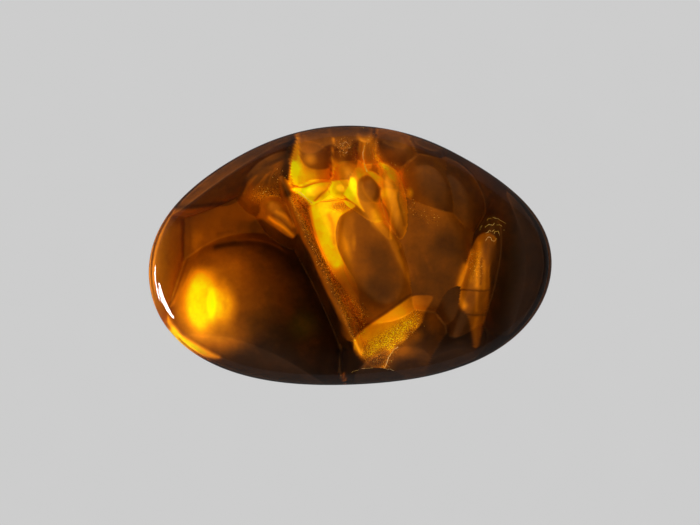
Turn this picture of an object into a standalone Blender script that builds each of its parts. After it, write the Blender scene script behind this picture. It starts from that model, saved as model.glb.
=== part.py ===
"""A polished fire agate cabochon: a domed oval stone with bubbles of fire layer under clear chalcedony.

Two solids make the stone. fire_layer_base is the opaque brown chalcedony, flat behind, with the
bubbles of the fire layer on top. clear_cap is the clear chalcedony that grew over the bubbles and
was ground to a dome. They grew together; here a narrow gap parts them.

Metres, +Z up. +X runs along the stone, +Y across it. The origin is under the middle of its box,
on the flat back.
"""

import bmesh
import bpy
from math import asin, atan2, cos, hypot, radians, sin, tau
from mathutils import Matrix

MM = 0.001

# The oval of the stone, in millimetres, and the waves that make it less regular.
# Each wave is its number of swells round the oval, and its cosine and sine as a share of the radius.
HALF_LENGTH = 12.56
HALF_WIDTH = 8.02
MEAN_RADIUS = 0.996
OUTLINE_WAVES = (
    (1, -0.008, -0.044),
    (2, -0.006, 0.013),
    (3, 0.009, -0.033),
    (5, 0.001, 0.010),
)

# The stone from the side: a rounded underside up to the girdle, and a dome over it.
GIRDLE_HEIGHT = 3.0
DOME_RISE = 5.0
DOME_FULLNESS = 2.3
DOME_SHOULDER = 1.35
BACK_SHARE = 0.80

# Where the brown base meets the outer surface: a sloping line, lower at the left end.
RIM_HEIGHT = 2.75
RIM_SLOPE = 0.06

# The thinnest clear layer over the bubbles, at the top and as a share of the radius at the rim.
CLEAR_OVER_TOP = 0.5
INNER_SHARE = 0.96

# The gap between the two solids.
GAP = 0.3

# How steeply a bubble's side goes on outside its rounded top, and the level inside the base
# where it ends.
FLARE = 4.9
BUBBLE_FOOT = 0.8

# The block under the bubbles is larger than the stone by this much, and reaches this far down.
BLOCK_MARGIN = 3.0
BLOCK_FLOOR = -1.0

# Sides and rings of the stone, of the smaller stone inside it, and of a bubble by its size.
STONE_SIDES, STONE_RINGS = 52, 10
INNER_SIDES, INNER_RINGS = 36, 8
LEAST_SIDES, SIDES_PER_MM = 10, 2.2
LEAST_RINGS, RINGS_PER_MM = 2.6, 0.37
LARGE_BUBBLE = 9.0

# A height on a round body counts as under its middle below this.
UNDER = -1e-4

# The bubbles. Each has a place, two radii and a turn in degrees, seen from above, the depth of its
# top under the dome there, and how far it bulges from its top to its rim. All in millimetres.
BUBBLES = {
    "great_bubble": (-5.4, -4.2, 6.5, 6.1, -20, 1.2, 5.9),
    "upper_left_shelf": (-6.6, 1.75, 5.6, 2.7, 0, 4.1, 0.4),
    "left_rim": (-11.15, -0.1, 1.75, 4.8, -7, 1.3, 1.8),
    "dark_wedge": (-7.1, 4.65, 4.5, 1.65, 26, 0.9, 1.0),
    "dark_wedge_tip": (-4.4, 6.5, 3.0, 0.9, 20, 0.8, 0.9),
    "speckled_slope": (-4.3, 4.0, 2.3, 2.1, 10, 2.0, 1.3),
    "striped_leaf": (-4.0, 2.0, 0.7, 1.3, 40, 2.0, 0.6),
    "glitter_band": (-1.55, -1.05, 0.5, 4.3, 25, 1.9, 0.5),
    "central_bubble": (0.25, 0.0, 2.2, 4.9, 30, 1.45, 2.4),
    "central_cap": (1.0, 0.0, 1.45, 2.7, 24, 1.1, 0.6),
    "upper_bubble": (-2.15, 5.0, 1.7, 2.7, 0, 1.2, 2.2),
    "upper_bubble_cap": (-1.8, 6.0, 1.15, 1.5, 0, 0.95, 0.45),
    "upper_collar": (-2.05, 3.5, 1.05, 0.75, 15, 1.3, 0.9),
    "upper_middle": (-0.4, 5.6, 0.95, 2.4, 0, 1.05, 1.5),
    "middle_collar": (-0.45, 3.75, 0.85, 0.6, 0, 1.15, 0.8),
    "upper_right_sliver": (0.95, 6.0, 0.7, 2.1, 5, 1.2, 1.0),
    "narrow_bubble": (0.95, 2.6, 1.15, 3.1, 28, 1.0, 1.5),
    "narrow_bubble_cap": (1.15, 3.6, 0.7, 0.95, 10, 0.8, 0.5),
    "small_step": (2.6, 2.5, 0.85, 2.4, 15, 1.0, 1.2),
    "right_shoulder": (2.6, 5.7, 1.3, 1.5, 35, 1.15, 1.2),
    "right_crown": (4.3, 5.9, 1.35, 1.2, 30, 1.2, 1.2),
    "right_bubble": (4.6, 3.3, 1.7, 2.3, 20, 1.1, 1.5),
    "middle_right_bubble": (4.15, 0.1, 2.95, 3.5, 25, 1.35, 1.5),
    "faint_bubble": (6.1, 2.9, 1.25, 2.0, 15, 1.35, 1.1),
    "valley": (5.6, -1.6, 1.3, 2.6, 15, 1.5, 1.2),
    "lower_bubble": (3.0, -4.75, 4.1, 3.0, 38, 0.95, 3.0),
    "lower_right_shade": (5.6, -5.2, 2.6, 2.0, 20, 1.0, 1.9),
    "bright_edge_bubble": (7.25, -1.6, 1.3, 3.9, -20, 1.1, 1.9),
    "right_end": (9.8, -0.45, 2.8, 4.8, -5, 1.0, 2.3),
    "upper_right_shade": (8.2, 4.8, 3.8, 2.5, -30, 1.2, 1.9),
}


def outline_share(angle):
    """The outline's radius at this angle, as a share of the plain ellipse's."""
    share = MEAN_RADIUS
    for swells, cosine, sine in OUTLINE_WAVES:
        share += cosine * cos(swells * angle) + sine * sin(swells * angle)
    return share


def share_at(x, y):
    """How far out a place is: 0 at the middle of the oval, 1 on its outline."""
    angle = atan2(y / HALF_WIDTH, x / HALF_LENGTH)
    return hypot(x / HALF_LENGTH, y / HALF_WIDTH) / outline_share(angle)


def dome_height(share, rise=DOME_RISE):
    return GIRDLE_HEIGHT + rise * max(1 - share**DOME_FULLNESS, 0) ** (1 / DOME_SHOULDER)


def underside(step):
    """Share and height at a step from 0, the girdle, to 1, the edge of the flat back."""
    turn = step * tau / 4
    return BACK_SHARE + (1 - BACK_SHARE) * cos(turn), GIRDLE_HEIGHT * (1 - sin(turn))


def material(name, color, roughness, metallic=0.0, transmission=0.0):
    made = bpy.data.materials.new(name)
    made.use_nodes = True
    shader = made.node_tree.nodes["Principled BSDF"]
    shader.inputs["Base Color"].default_value = (*color, 1)
    shader.inputs["Roughness"].default_value = roughness
    shader.inputs["Metallic"].default_value = metallic
    shader.inputs["Transmission Weight"].default_value = transmission
    shader.inputs["IOR"].default_value = 1.54
    return made


def collection(name):
    made = bpy.data.collections.new(name)
    bpy.context.scene.collection.children.link(made)
    return made


def mesh_object(name, bm, group):
    """A new object from this bmesh, given in millimetres, in this collection."""
    bmesh.ops.transform(bm, matrix=Matrix.Scale(MM, 4), verts=bm.verts)
    bmesh.ops.recalc_face_normals(bm, faces=bm.faces)
    mesh = bpy.data.meshes.new(name)
    bm.to_mesh(mesh)
    bm.free()
    made = bpy.data.objects.new(name, mesh)
    group.objects.link(made)
    return made


def hide_cutter(cutter):
    cutter.hide_render = True
    cutter.display_type = "WIRE"
    return cutter


def stone_body(name, group, segments, rings, scale=1.0, lower=0.0):
    """The whole stone as a reshaped sphere, or a smaller one inside it for the clear layer.

    The upper half becomes the dome, the next quarter the rounded underside, the last the flat back.
    """
    bm = bmesh.new()
    bmesh.ops.create_uvsphere(bm, u_segments=segments, v_segments=2 * rings, radius=1)
    for vert in bm.verts:
        angle = atan2(vert.co.y, vert.co.x)
        latitude = asin(max(-1, min(1, vert.co.z))) / (tau / 4)
        share = hypot(vert.co.x, vert.co.y)
        height = dome_height(share, DOME_RISE - lower)
        if latitude < UNDER:
            share, height = underside(min(-latitude * 2, 1))
        if latitude < -0.5:
            share = BACK_SHARE * (1 + latitude) * 2
        radius = share * scale * outline_share(angle)
        vert.co = (HALF_LENGTH * radius * cos(angle), HALF_WIDTH * radius * sin(angle), height)
    flat = [face for face in bm.faces if all(vert.co.z < -UNDER for vert in face.verts)]
    bmesh.ops.dissolve_faces(bm, faces=flat)
    return mesh_object(name, bm, group)


def bubble_body(name, group, shape, gap):
    """One bubble: a rounded top on a flared side, closed inside the base."""
    x, y, radius_x, radius_y, turn, depth, bulge = shape
    size = min(radius_x + radius_y, LARGE_BUBBLE)
    segments = 4 * round((LEAST_SIDES + SIDES_PER_MM * size) / 4)
    rings = round(LEAST_RINGS + RINGS_PER_MM * size)
    top = dome_height(share_at(x, y)) - depth + gap
    flare = (top - bulge - BUBBLE_FOOT) / (FLARE * bulge)
    foot_grow = (1 + flare) / cos(tau / 4 / rings)
    bm = bmesh.new()
    bmesh.ops.create_uvsphere(bm, u_segments=segments, v_segments=2 * rings, radius=1)
    for vert in bm.verts:
        height = top - bulge * (1 - vert.co.z)
        grow = 1
        if vert.co.z < UNDER:
            height, grow = BUBBLE_FOOT, foot_grow
        across = vert.co.x * grow * (radius_x + gap / 2)
        along = vert.co.y * grow * (radius_y + gap / 2)
        vert.co = (across, along, height)
    place = Matrix.Translation((x, y, 0)) @ Matrix.Rotation(radians(turn), 4, "Z")
    bmesh.ops.transform(bm, matrix=place, verts=bm.verts)
    return hide_cutter(mesh_object(name, bm, group))


def base_block(name, group, gap):
    """The base up to the sloping line where it meets the outer surface."""
    bm = bmesh.new()
    bmesh.ops.create_cube(bm, size=2)
    for vert in bm.verts:
        x = vert.co.x * (HALF_LENGTH + BLOCK_MARGIN)
        y = vert.co.y * (HALF_WIDTH + BLOCK_MARGIN)
        top = RIM_HEIGHT + RIM_SLOPE * x + gap
        vert.co = (x, y, top if vert.co.z > 0 else BLOCK_FLOOR)
    return hide_cutter(mesh_object(name, bm, group))


def combine(target, operation, other):
    """A Boolean on target with an object, or with every object of a collection."""
    modifier = target.modifiers.new(f"{operation.lower()} {other.name}", "BOOLEAN")
    modifier.operation = operation
    modifier.solver = "EXACT"
    if isinstance(other, bpy.types.Collection):
        modifier.operand_type = "COLLECTION"
        modifier.collection = other
    else:
        modifier.object = other


def bubble_pile(name, group, gap):
    """All bubbles and the block under them, kept inside the dome by the clear layer."""
    others = collection(f"{name}_bubbles")
    great, *rest = BUBBLES
    joined = bubble_body(f"{name}_{great}", group, BUBBLES[great], gap)
    for bubble in rest:
        bubble_body(f"{name}_{bubble}", others, BUBBLES[bubble], gap)
    combine(joined, "UNION", others)
    share = INNER_SHARE + gap / 2 / HALF_WIDTH
    pile = stone_body(name, group, INNER_SIDES, INNER_RINGS, share, CLEAR_OVER_TOP - gap)
    combine(pile, "INTERSECT", joined)
    combine(pile, "UNION", base_block(f"{name}_block", group, gap))
    return hide_cutter(pile)


def finish(piece, look):
    piece.data.materials.append(look)
    piece.data.shade_smooth()
    piece.data.set_sharp_from_angle(angle=radians(40))


def build():
    for obj in list(bpy.data.objects):
        bpy.data.objects.remove(obj, do_unlink=True)
    parts = collection("fire_agate")
    cutters = collection("cutters")

    base = stone_body("fire_layer_base", parts, STONE_SIDES, STONE_RINGS)
    combine(base, "INTERSECT", bubble_pile("pile", cutters, 0))
    finish(base, material("fire_layer", (0.45, 0.15, 0.01), 0.3, metallic=0.5))

    cap = stone_body("clear_cap", parts, STONE_SIDES, STONE_RINGS)
    combine(cap, "DIFFERENCE", bubble_pile("hollow", cutters, GAP))
    finish(cap, material("clear_chalcedony", (0.95, 0.75, 0.45), 0.03, transmission=1.0))


build()
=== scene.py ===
# %% [markdown]
# # A polished fire agate
# A fire agate is brown chalcedony that grew as a crowd of bubbles, with skins of iron oxide so thin
# that they shine gold, orange and green. Clear chalcedony then grew over the bubbles, and a cutter
# ground it to a dome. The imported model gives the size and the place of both, so it is loaded first.

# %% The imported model
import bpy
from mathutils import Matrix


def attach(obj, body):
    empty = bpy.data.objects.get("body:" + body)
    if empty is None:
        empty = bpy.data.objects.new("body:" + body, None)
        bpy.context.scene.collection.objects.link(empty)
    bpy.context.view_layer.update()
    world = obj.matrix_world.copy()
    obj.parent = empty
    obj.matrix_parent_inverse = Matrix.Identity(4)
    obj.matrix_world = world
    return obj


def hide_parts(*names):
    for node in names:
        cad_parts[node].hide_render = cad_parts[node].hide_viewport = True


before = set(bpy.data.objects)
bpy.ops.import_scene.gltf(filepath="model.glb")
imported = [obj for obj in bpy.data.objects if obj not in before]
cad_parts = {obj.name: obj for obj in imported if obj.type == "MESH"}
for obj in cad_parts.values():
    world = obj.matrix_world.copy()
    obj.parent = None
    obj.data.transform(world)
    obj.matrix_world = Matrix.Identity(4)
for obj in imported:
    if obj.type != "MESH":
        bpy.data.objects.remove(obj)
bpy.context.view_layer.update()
print("packed pieces:", sorted(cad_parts))

# %% Other modules
from math import cos, pi, radians, sin

import bpy
import numpy as np
from mathutils import Vector

MM = 0.001
print("one millimetre is", MM, "of Blender's metres")

# %% [markdown]
# ## The outside of the stone
# A cabochon is ground by hand, so its oval is a little uneven. It could be sculpted, but a rule keeps
# it exact: an ellipse whose radius swells and shrinks a few times round. From the side the stone is a
# dome, a widest line called the girdle, a rounded underside and a flat back. One number, the step,
# walks down that outline: 0 at the top, 1 at the girdle, 2 at the edge of the back.

# %% The outline from above and from the side
HALF_LENGTH = 12.56
HALF_WIDTH = 8.02
MEAN_RADIUS = 0.996
OUTLINE_WAVES = ((1, -0.008, -0.044), (2, -0.006, 0.013), (3, 0.009, -0.033), (5, 0.001, 0.010))
GIRDLE_HEIGHT = 3.0
DOME_RISE = 5.0
DOME_FULLNESS = 2.3
DOME_SHOULDER = 1.35
BACK_SHARE = 0.80
RIM_HEIGHT = 2.75
RIM_SLOPE = 0.06


def outline_share(angle):
    """The outline's radius at this angle, as a share of the plain ellipse's."""
    share = MEAN_RADIUS + 0 * angle
    for swells, cosine, sine in OUTLINE_WAVES:
        share = share + cosine * np.cos(swells * angle) + sine * np.sin(swells * angle)
    return share


def share_at(x, y):
    """How far out a place is: 0 at the middle of the oval, 1 on its outline."""
    angle = np.arctan2(y / HALF_WIDTH, x / HALF_LENGTH)
    return np.hypot(x / HALF_LENGTH, y / HALF_WIDTH) / outline_share(angle)


def dome_height(share, rise=DOME_RISE):
    fall = 1 - np.clip(share, 0, 1) ** DOME_FULLNESS
    return GIRDLE_HEIGHT + rise * fall ** (1 / DOME_SHOULDER)


def side_outline(step):
    """Share of the radius and height at a step down the outline."""
    turn = np.clip(step, 0, 1) * pi / 2
    dome_share = (1 - np.cos(turn) ** DOME_SHOULDER) ** (1 / DOME_FULLNESS)
    dome = GIRDLE_HEIGHT + DOME_RISE * np.cos(turn)
    turn = np.clip(step - 1, 0, 1) * pi / 2
    under_share = BACK_SHARE + (1 - BACK_SHARE) * np.cos(turn)
    under = GIRDLE_HEIGHT * (1 - np.sin(turn))
    above = step <= 1
    return np.where(above, dome_share, under_share), np.where(above, dome, under)


def on_stone(step, angle):
    """Points on the outside, in millimetres, one row for each step and angle."""
    share, height = side_outline(step)
    radius = share * outline_share(angle)
    return np.stack(
        (HALF_LENGTH * radius * np.cos(angle), HALF_WIDTH * radius * np.sin(angle), height + 0 * angle), -1
    )


def rim_level(x):
    """The height of the line where the clear dome ends and the brown base starts."""
    return RIM_HEIGHT + RIM_SLOPE * x


widest = outline_share(np.linspace(0, 2 * pi, 361)).max()
print("the outline swells to", widest.round(3), "of the plain ellipse")

# %% [markdown]
# ## The rim line
# The clear dome and the brown base meet along a line near the girdle that tilts a little. Where it
# crosses each spoke has no plain formula, so it is found as one finds a word in a dictionary: the part
# of the outline that holds it is halved again and again.

# %% The rim line, found on every spoke
SPOKES = 460
HALVINGS = 40
STEP_ON_DOME = 0.3
STEP_ON_UNDERSIDE = 1.9

angles = np.arange(SPOKES) * 2 * pi / SPOKES
high = np.full(SPOKES, STEP_ON_DOME)
low = np.full(SPOKES, STEP_ON_UNDERSIDE)
for _ in range(HALVINGS):
    middle = (high + low) / 2
    point = on_stone(middle, angles)
    above = point[:, 2] > rim_level(point[:, 0])
    high = np.where(above, middle, high)
    low = np.where(above, low, middle)
rim_step = (high + low) / 2
rim_points = on_stone(rim_step, angles)
print("rim height from", rim_points[:, 2].min().round(2), "to", rim_points[:, 2].max().round(2), "mm")


# %% [markdown]
# ## Rings of points become a skin
# Every big surface here is a stack of closed rings with the same number of points, so one helper joins
# them with four-sided faces and closes the ends. It could be a Screw modifier, but the rings differ.

# %% A skin over rings
def skin(name, rings, first_cap=True, last_cap=True):
    """A mesh object over rings of points in millimetres. A cap closes an end with a fan to its middle."""
    spokes = rings.shape[1]
    points = list(rings.reshape(-1, 3) * MM)
    around = np.arange(spokes)
    after = (around + 1) % spokes
    faces = []
    for ring in range(len(rings) - 1):
        base = ring * spokes
        corners = (base + around, base + spokes + around, base + spokes + after, base + after)
        faces.append(np.stack(corners, -1))
    faces = np.concatenate(faces).tolist()
    if first_cap:
        points.append(rings[0].mean(0) * MM)
        faces += [(len(points) - 1, int(a), int(b)) for a, b in zip(around, after)]
    if last_cap:
        points.append(rings[-1].mean(0) * MM)
        base = (len(rings) - 1) * spokes
        faces += [(len(points) - 1, base + int(b), base + int(a)) for a, b in zip(around, after)]
    mesh = bpy.data.meshes.new(name)
    mesh.from_pydata(points, [], faces)
    mesh.shade_smooth()
    made = bpy.data.objects.new(name, mesh)
    bpy.context.scene.collection.objects.link(made)
    print(name, "has", len(faces), "faces")
    return made


# %% [markdown]
# ## The clear dome
# The clear chalcedony is one closed body: the dome down to the rim line, then a skirt that turns in
# and hides inside the brown base. It fills the space over the bubbles with no air between, so light
# bends once, at the polish, and reaches the fire layer directly.

# %% The clear dome's skin
DOME_RINGS = 96
SKIRT_SHARE = 0.975
SKIRT_DROP = 0.4

down = np.linspace(0, 1, DOME_RINGS + 1)[1:, None]
dome_rings = on_stone(down * rim_step, angles + 0 * down)
skirt = rim_points * (SKIRT_SHARE, SKIRT_SHARE, 1) - (0, 0, SKIRT_DROP)
clear_dome = skin("clear_dome", np.concatenate((dome_rings, skirt[None])))
top_vertex = clear_dome.data.vertices[len(dome_rings) * SPOKES + SPOKES]
top_vertex.co = Vector((0, 0, (GIRDLE_HEIGHT + DOME_RISE) * MM))
print("the dome's top is", GIRDLE_HEIGHT + DOME_RISE, "mm high")

# %% [markdown]
# ## The bubbles of the fire layer
# Each bubble is the rounded cap of an ellipsoid with a steep side. Where bubbles crowd, the higher one
# wins, and that makes the sharp seams between them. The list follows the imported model's own bubbles,
# with a wider central cap and four flatter ones on the right, and the surface is sampled more finely.

# %% The bubbles
# x, y, two radii and a turn in degrees seen from above, the depth of the top under the dome, and how
# far it bulges. In millimetres.
BUBBLES = {
    "great_bubble": (-5.4, -4.2, 6.5, 6.1, -20, 1.2, 5.9),
    "upper_left_shelf": (-6.6, 1.75, 5.6, 2.7, 0, 4.1, 0.4),
    "left_rim": (-11.15, -0.1, 1.75, 4.8, -7, 1.3, 1.8),
    "dark_wedge": (-7.1, 4.65, 4.5, 1.65, 26, 0.9, 1.0),
    "dark_wedge_tip": (-4.4, 6.5, 3.0, 0.9, 20, 0.8, 0.9),
    "speckled_slope": (-4.3, 4.0, 2.3, 2.1, 10, 2.0, 1.3),
    "striped_leaf": (-4.0, 2.0, 0.7, 1.3, 40, 2.0, 0.6),
    "glitter_band": (-1.55, -1.05, 0.5, 4.3, 25, 1.9, 0.5),
    "central_bubble": (0.25, 0.0, 2.2, 4.9, 30, 1.45, 2.4),
    "central_cap": (1.3, -0.15, 1.8, 3.0, 26, 1.1, 0.6),
    "upper_bubble": (-2.15, 5.0, 1.7, 2.7, 0, 1.2, 2.2),
    "upper_bubble_cap": (-1.8, 6.0, 1.15, 1.5, 0, 0.95, 0.45),
    "upper_collar": (-2.05, 3.5, 1.05, 0.75, 15, 1.3, 0.9),
    "upper_middle": (-0.4, 5.6, 0.95, 2.4, 0, 1.05, 1.5),
    "middle_collar": (-0.45, 3.75, 0.85, 0.6, 0, 1.15, 0.8),
    "upper_right_sliver": (0.95, 6.0, 0.7, 2.1, 5, 1.2, 1.0),
    "narrow_bubble": (0.95, 2.6, 1.15, 3.1, 28, 1.0, 1.5),
    "narrow_bubble_cap": (1.15, 3.6, 0.7, 0.95, 10, 0.8, 0.5),
    "small_step": (2.6, 2.5, 0.85, 2.4, 15, 1.0, 1.2),
    "right_shoulder": (2.6, 5.7, 1.3, 1.5, 35, 1.15, 0.8),
    "right_crown": (4.3, 5.9, 1.35, 1.2, 30, 1.2, 0.8),
    "right_bubble": (4.6, 3.3, 1.7, 2.3, 20, 1.1, 1.1),
    "middle_right_bubble": (4.15, 0.1, 2.95, 3.5, 25, 1.35, 1.5),
    "faint_bubble": (6.1, 2.9, 1.25, 2.0, 15, 1.35, 0.8),
    "valley": (5.6, -1.6, 1.3, 2.6, 15, 1.5, 1.2),
    "lower_bubble": (3.0, -4.75, 4.1, 3.0, 38, 0.95, 3.0),
    "lower_right_shade": (5.6, -5.2, 2.6, 2.0, 20, 1.0, 1.9),
    "bright_edge_bubble": (7.25, -1.6, 1.3, 3.9, -20, 1.1, 1.9),
    "right_end": (9.8, -0.45, 2.8, 4.8, -5, 1.0, 2.3),
    "upper_right_shade": (8.2, 4.8, 3.8, 2.5, -30, 1.2, 1.9),
}
print("the fire layer has", len(BUBBLES), "bubbles")

# %% The surface over all bubbles
CLEAR_OVER_TOP = 0.5
INNER_SHARE = 0.96
CAP_EDGE = 0.985
FLARE = 4.9
FAR_BELOW = -9.0


def bubble_top(x, y, shape):
    """The height of one bubble here. It is 1 out at its rim, and falls steeply from there."""
    middle_x, middle_y, radius_x, radius_y, turn, depth, bulge = shape
    turn = radians(turn)
    from_x, from_y = x - middle_x, y - middle_y
    across = (from_x * cos(turn) + from_y * sin(turn)) / radius_x
    along = (from_y * cos(turn) - from_x * sin(turn)) / radius_y
    out = np.hypot(across, along)
    top = dome_height(share_at(np.float64(middle_x), np.float64(middle_y))) - depth
    rounded = bulge * (1 - np.sqrt(1 - np.minimum(out, CAP_EDGE) ** 2))
    steep = np.maximum(out - CAP_EDGE, 0) * bulge * FLARE
    return top - rounded - steep


def fire_layer_at(x, y):
    """The surface's height, which bubble it belongs to, and how far it stands over the next one."""
    height = np.full(x.shape, FAR_BELOW)
    second = height.copy()
    owner = np.zeros(x.shape, int)
    for number, shape in enumerate(BUBBLES.values()):
        top = bubble_top(x, y, shape)
        wins = top > height
        second = np.where(wins, height, np.maximum(second, top))
        height = np.where(wins, top, height)
        owner = np.where(wins, number, owner)
    seam = height - second
    inner = dome_height(share_at(x, y) / INNER_SHARE, DOME_RISE - CLEAR_OVER_TOP)
    height = np.minimum(height, inner)
    height = np.maximum(height, rim_level(x))
    return height, owner, seam


at_middle = fire_layer_at(np.zeros(1), np.zeros(1))
print("at the middle", list(BUBBLES)[at_middle[1][0]], "is", at_middle[0][0].round(2), "mm high")

# %% [markdown]
# ## The fire layer and the brown base
# The bubbles grew on the brown chalcedony, so one closed body carries both: rings run from the middle
# over the bubbles to the rim line, then down the outside and under the flat back.

# %% The fire layer and the brown base as one skin
FIRE_RINGS = 190
WALL_RINGS = 12

out = (np.arange(1, FIRE_RINGS) / FIRE_RINGS)[:, None]
fire_x, fire_y = out * rim_points[:, 0], out * rim_points[:, 1]
fire_z, owner, seam = fire_layer_at(fire_x, fire_y)
fire_rings = np.stack((fire_x, fire_y, fire_z), -1)
down = np.linspace(0, 1, WALL_RINGS + 1)[:, None]
wall_rings = on_stone(rim_step + (2 - rim_step) * down, angles + 0 * down)
base_stone = skin("fire_layer_stone", np.concatenate((fire_rings, wall_rings)))
mesh = base_stone.data
# The middles of the two caps are the last two vertices, and the fire layer's comes first.
middle = mesh.vertices[len(mesh.vertices) - 2]
middle.co.z = fire_layer_at(np.array([middle.co.x / MM]), np.array([middle.co.y / MM]))[0][0] * MM
print("fire layer from", fire_z.min().round(2), "to", fire_z.max().round(2), "mm high")

# %% [markdown]
# ## Where each point is seen from above
# The dome bends what lies under it. The colours of the fire are laid region by region, as a painter
# lays them, and a region's place is easiest to read from straight above. So each point of the fire layer
# also gets the place at which an eye above the stone sees it. Snell's law gives it: a ray comes straight
# down, bends at the polish and goes on to the point. A few rounds of guessing settle it.

# %% The seen place
REFRACTION = 1.54
SLOPE_STEP = 0.01
SEEN_ROUNDS = 8
HIT_ROUNDS = 60
HIT_SHARE = 0.3


def bent_ray(x, y):
    """How far aside a ray from straight above goes under the dome, for each millimetre down."""
    rise_x = dome_height(share_at(x + SLOPE_STEP, y)) - dome_height(share_at(x - SLOPE_STEP, y))
    rise_y = dome_height(share_at(x, y + SLOPE_STEP)) - dome_height(share_at(x, y - SLOPE_STEP))
    slope_x, slope_y = rise_x / (2 * SLOPE_STEP), rise_y / (2 * SLOPE_STEP)
    length = np.sqrt(1 + slope_x**2 + slope_y**2)
    facing = 1 / length
    bend = facing / REFRACTION - np.sqrt(1 - (1 - facing**2) / REFRACTION**2)
    ray_x, ray_y = -bend * slope_x / length, -bend * slope_y / length
    ray_z = bend / length - 1 / REFRACTION
    return ray_x / -ray_z, ray_y / -ray_z


def seen_from_above(x, y, z):
    seen_x, seen_y = x.copy(), y.copy()
    for _ in range(SEEN_ROUNDS):
        aside_x, aside_y = bent_ray(seen_x, seen_y)
        depth = np.maximum(dome_height(share_at(seen_x, seen_y)) - z, 0)
        seen_x, seen_y = x - aside_x * depth, y - aside_y * depth
    return seen_x, seen_y


def under_the_dome(seen_x, seen_y):
    """The opposite: the point of the fire layer that is seen at a place."""
    aside_x, aside_y = bent_ray(seen_x, seen_y)
    top = dome_height(share_at(seen_x, seen_y))
    depth = np.zeros_like(top)
    for _ in range(HIT_ROUNDS):
        x, y = seen_x + aside_x * depth, seen_y + aside_y * depth
        depth = depth + HIT_SHARE * (top - depth - fire_layer_at(x, y)[0])
    return x, y, top - depth


seen_x, seen_y = seen_from_above(fire_x, fire_y, fire_z)
moved = np.hypot(seen_x - fire_x, seen_y - fire_y)
print("the dome moves what is seen by up to", np.percentile(moved, 99).round(2), "mm")

# %% [markdown]
# ## Painting the fire
# The fire of this stone comes from films far too thin to model, and it lights up where a film faces the
# light. So the films' colours and the light and shade on them are painted together as one value, the tone:
# 0 is black, 0.5 brown, 0.9 orange, 1.05 yellow and 1.2 green. The bright flanks are painted highlights,
# and the dark caps and the dark right end are painted shade. Each bubble first gets its own tone. Then soft
# glows, patches with an edge and thin strokes go over it, each on the bubbles it names. An image would do
# too, but this way every colour stays a number.

# %% The first tone of each bubble
FIRST_TONE = {
    "great_bubble": 0.165,
    "upper_left_shelf": 0.41,
    "left_rim": 0.47,
    "dark_wedge": 0.34,
    "dark_wedge_tip": 0.31,
    "speckled_slope": 0.40,
    "striped_leaf": 0.52,
    "glitter_band": 0.50,
    "central_bubble": 0.42,
    "central_cap": 0.47,
    "upper_bubble": 0.66,
    "upper_bubble_cap": 0.48,
    "upper_collar": 0.97,
    "upper_middle": 0.60,
    "middle_collar": 0.84,
    "upper_right_sliver": 0.57,
    "narrow_bubble": 0.62,
    "narrow_bubble_cap": 0.48,
    "small_step": 0.68,
    "right_shoulder": 0.44,
    "right_crown": 0.36,
    "right_bubble": 0.40,
    "middle_right_bubble": 0.42,
    "faint_bubble": 0.32,
    "valley": 0.26,
    "lower_bubble": 0.30,
    "lower_right_shade": 0.15,
    "bright_edge_bubble": 0.55,
    "right_end": 0.15,
    "upper_right_shade": 0.24,
}
NUMBERS = {name: number for number, name in enumerate(BUBBLES)}
first = np.array([FIRST_TONE[name] for name in BUBBLES])
tone = first[owner]
glitter = np.zeros_like(tone)
green = np.zeros_like(tone)
print("bubbles with a first tone:", len(first))

# %% [markdown]
# ## The painter's tools
# Blender's paint brushes would work too, but they leave no numbers behind. Four tools are enough here: a
# glow is a soft oval, a patch has an edge, a stroke is a line, and a wash covers whole bubbles.

# %% Glows and washes
def smooth(share):
    share = np.clip(share, 0, 1)
    return share * share * (3 - 2 * share)


def on(names, mask):
    """Keeps a mask to the named bubbles. No name means all of them."""
    if not names:
        return mask
    return mask * np.isin(owner, [NUMBERS[name] for name in names.split()])


def lay(layer, value, mask):
    layer += (value - layer) * mask


def glow(names, x, y, radius_x, radius_y, value, edge=1.0, turn=0, layer=tone):
    """A soft oval. The edge is the part of the radius over which it fades."""
    turn = radians(turn)
    from_x, from_y = seen_x - x, seen_y - y
    across = (from_x * cos(turn) + from_y * sin(turn)) / radius_x
    along = (from_y * cos(turn) - from_x * sin(turn)) / radius_y
    lay(layer, value, on(names, smooth((1 - np.hypot(across, along)) / edge)))


def fade(start, value, end, end_value):
    """A value that goes over into another one between two places."""
    run_x, run_y = end[0] - start[0], end[1] - start[1]
    share = ((seen_x - start[0]) * run_x + (seen_y - start[1]) * run_y) / (run_x**2 + run_y**2)
    return value + (end_value - value) * smooth(share)


def wash(names, start, value, end, end_value):
    """Whole bubbles in a tone that goes over into another one."""
    lay(tone, fade(start, value, end, end_value), on(names, np.ones_like(tone)))


print("the colours are laid on", tone.size, "points")

# %% Smooth paths
CURVE_STEPS = 8
FAR = 99.0
NO_LENGTH = 1e-9


def through(points, closed=False):
    """A smooth path through the points."""
    points = np.array(points, float)
    if closed:
        ring = np.concatenate((points[-1:], points, points[:2]))
    else:
        ring = np.concatenate((2 * points[:1] - points[1:2], points, 2 * points[-1:] - points[-2:-1]))
    share = np.arange(CURVE_STEPS)[:, None] / CURVE_STEPS
    path = []
    for a, b, c, d in zip(ring, ring[1:], ring[2:], ring[3:]):
        bend = 2 * a - 5 * b + 4 * c - d + share * (3 * (b - c) + d - a)
        path.append(b + 0.5 * share * (c - a + share * bend))
    if not closed:
        path.append(points[-1:])
    return np.concatenate(path)


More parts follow.
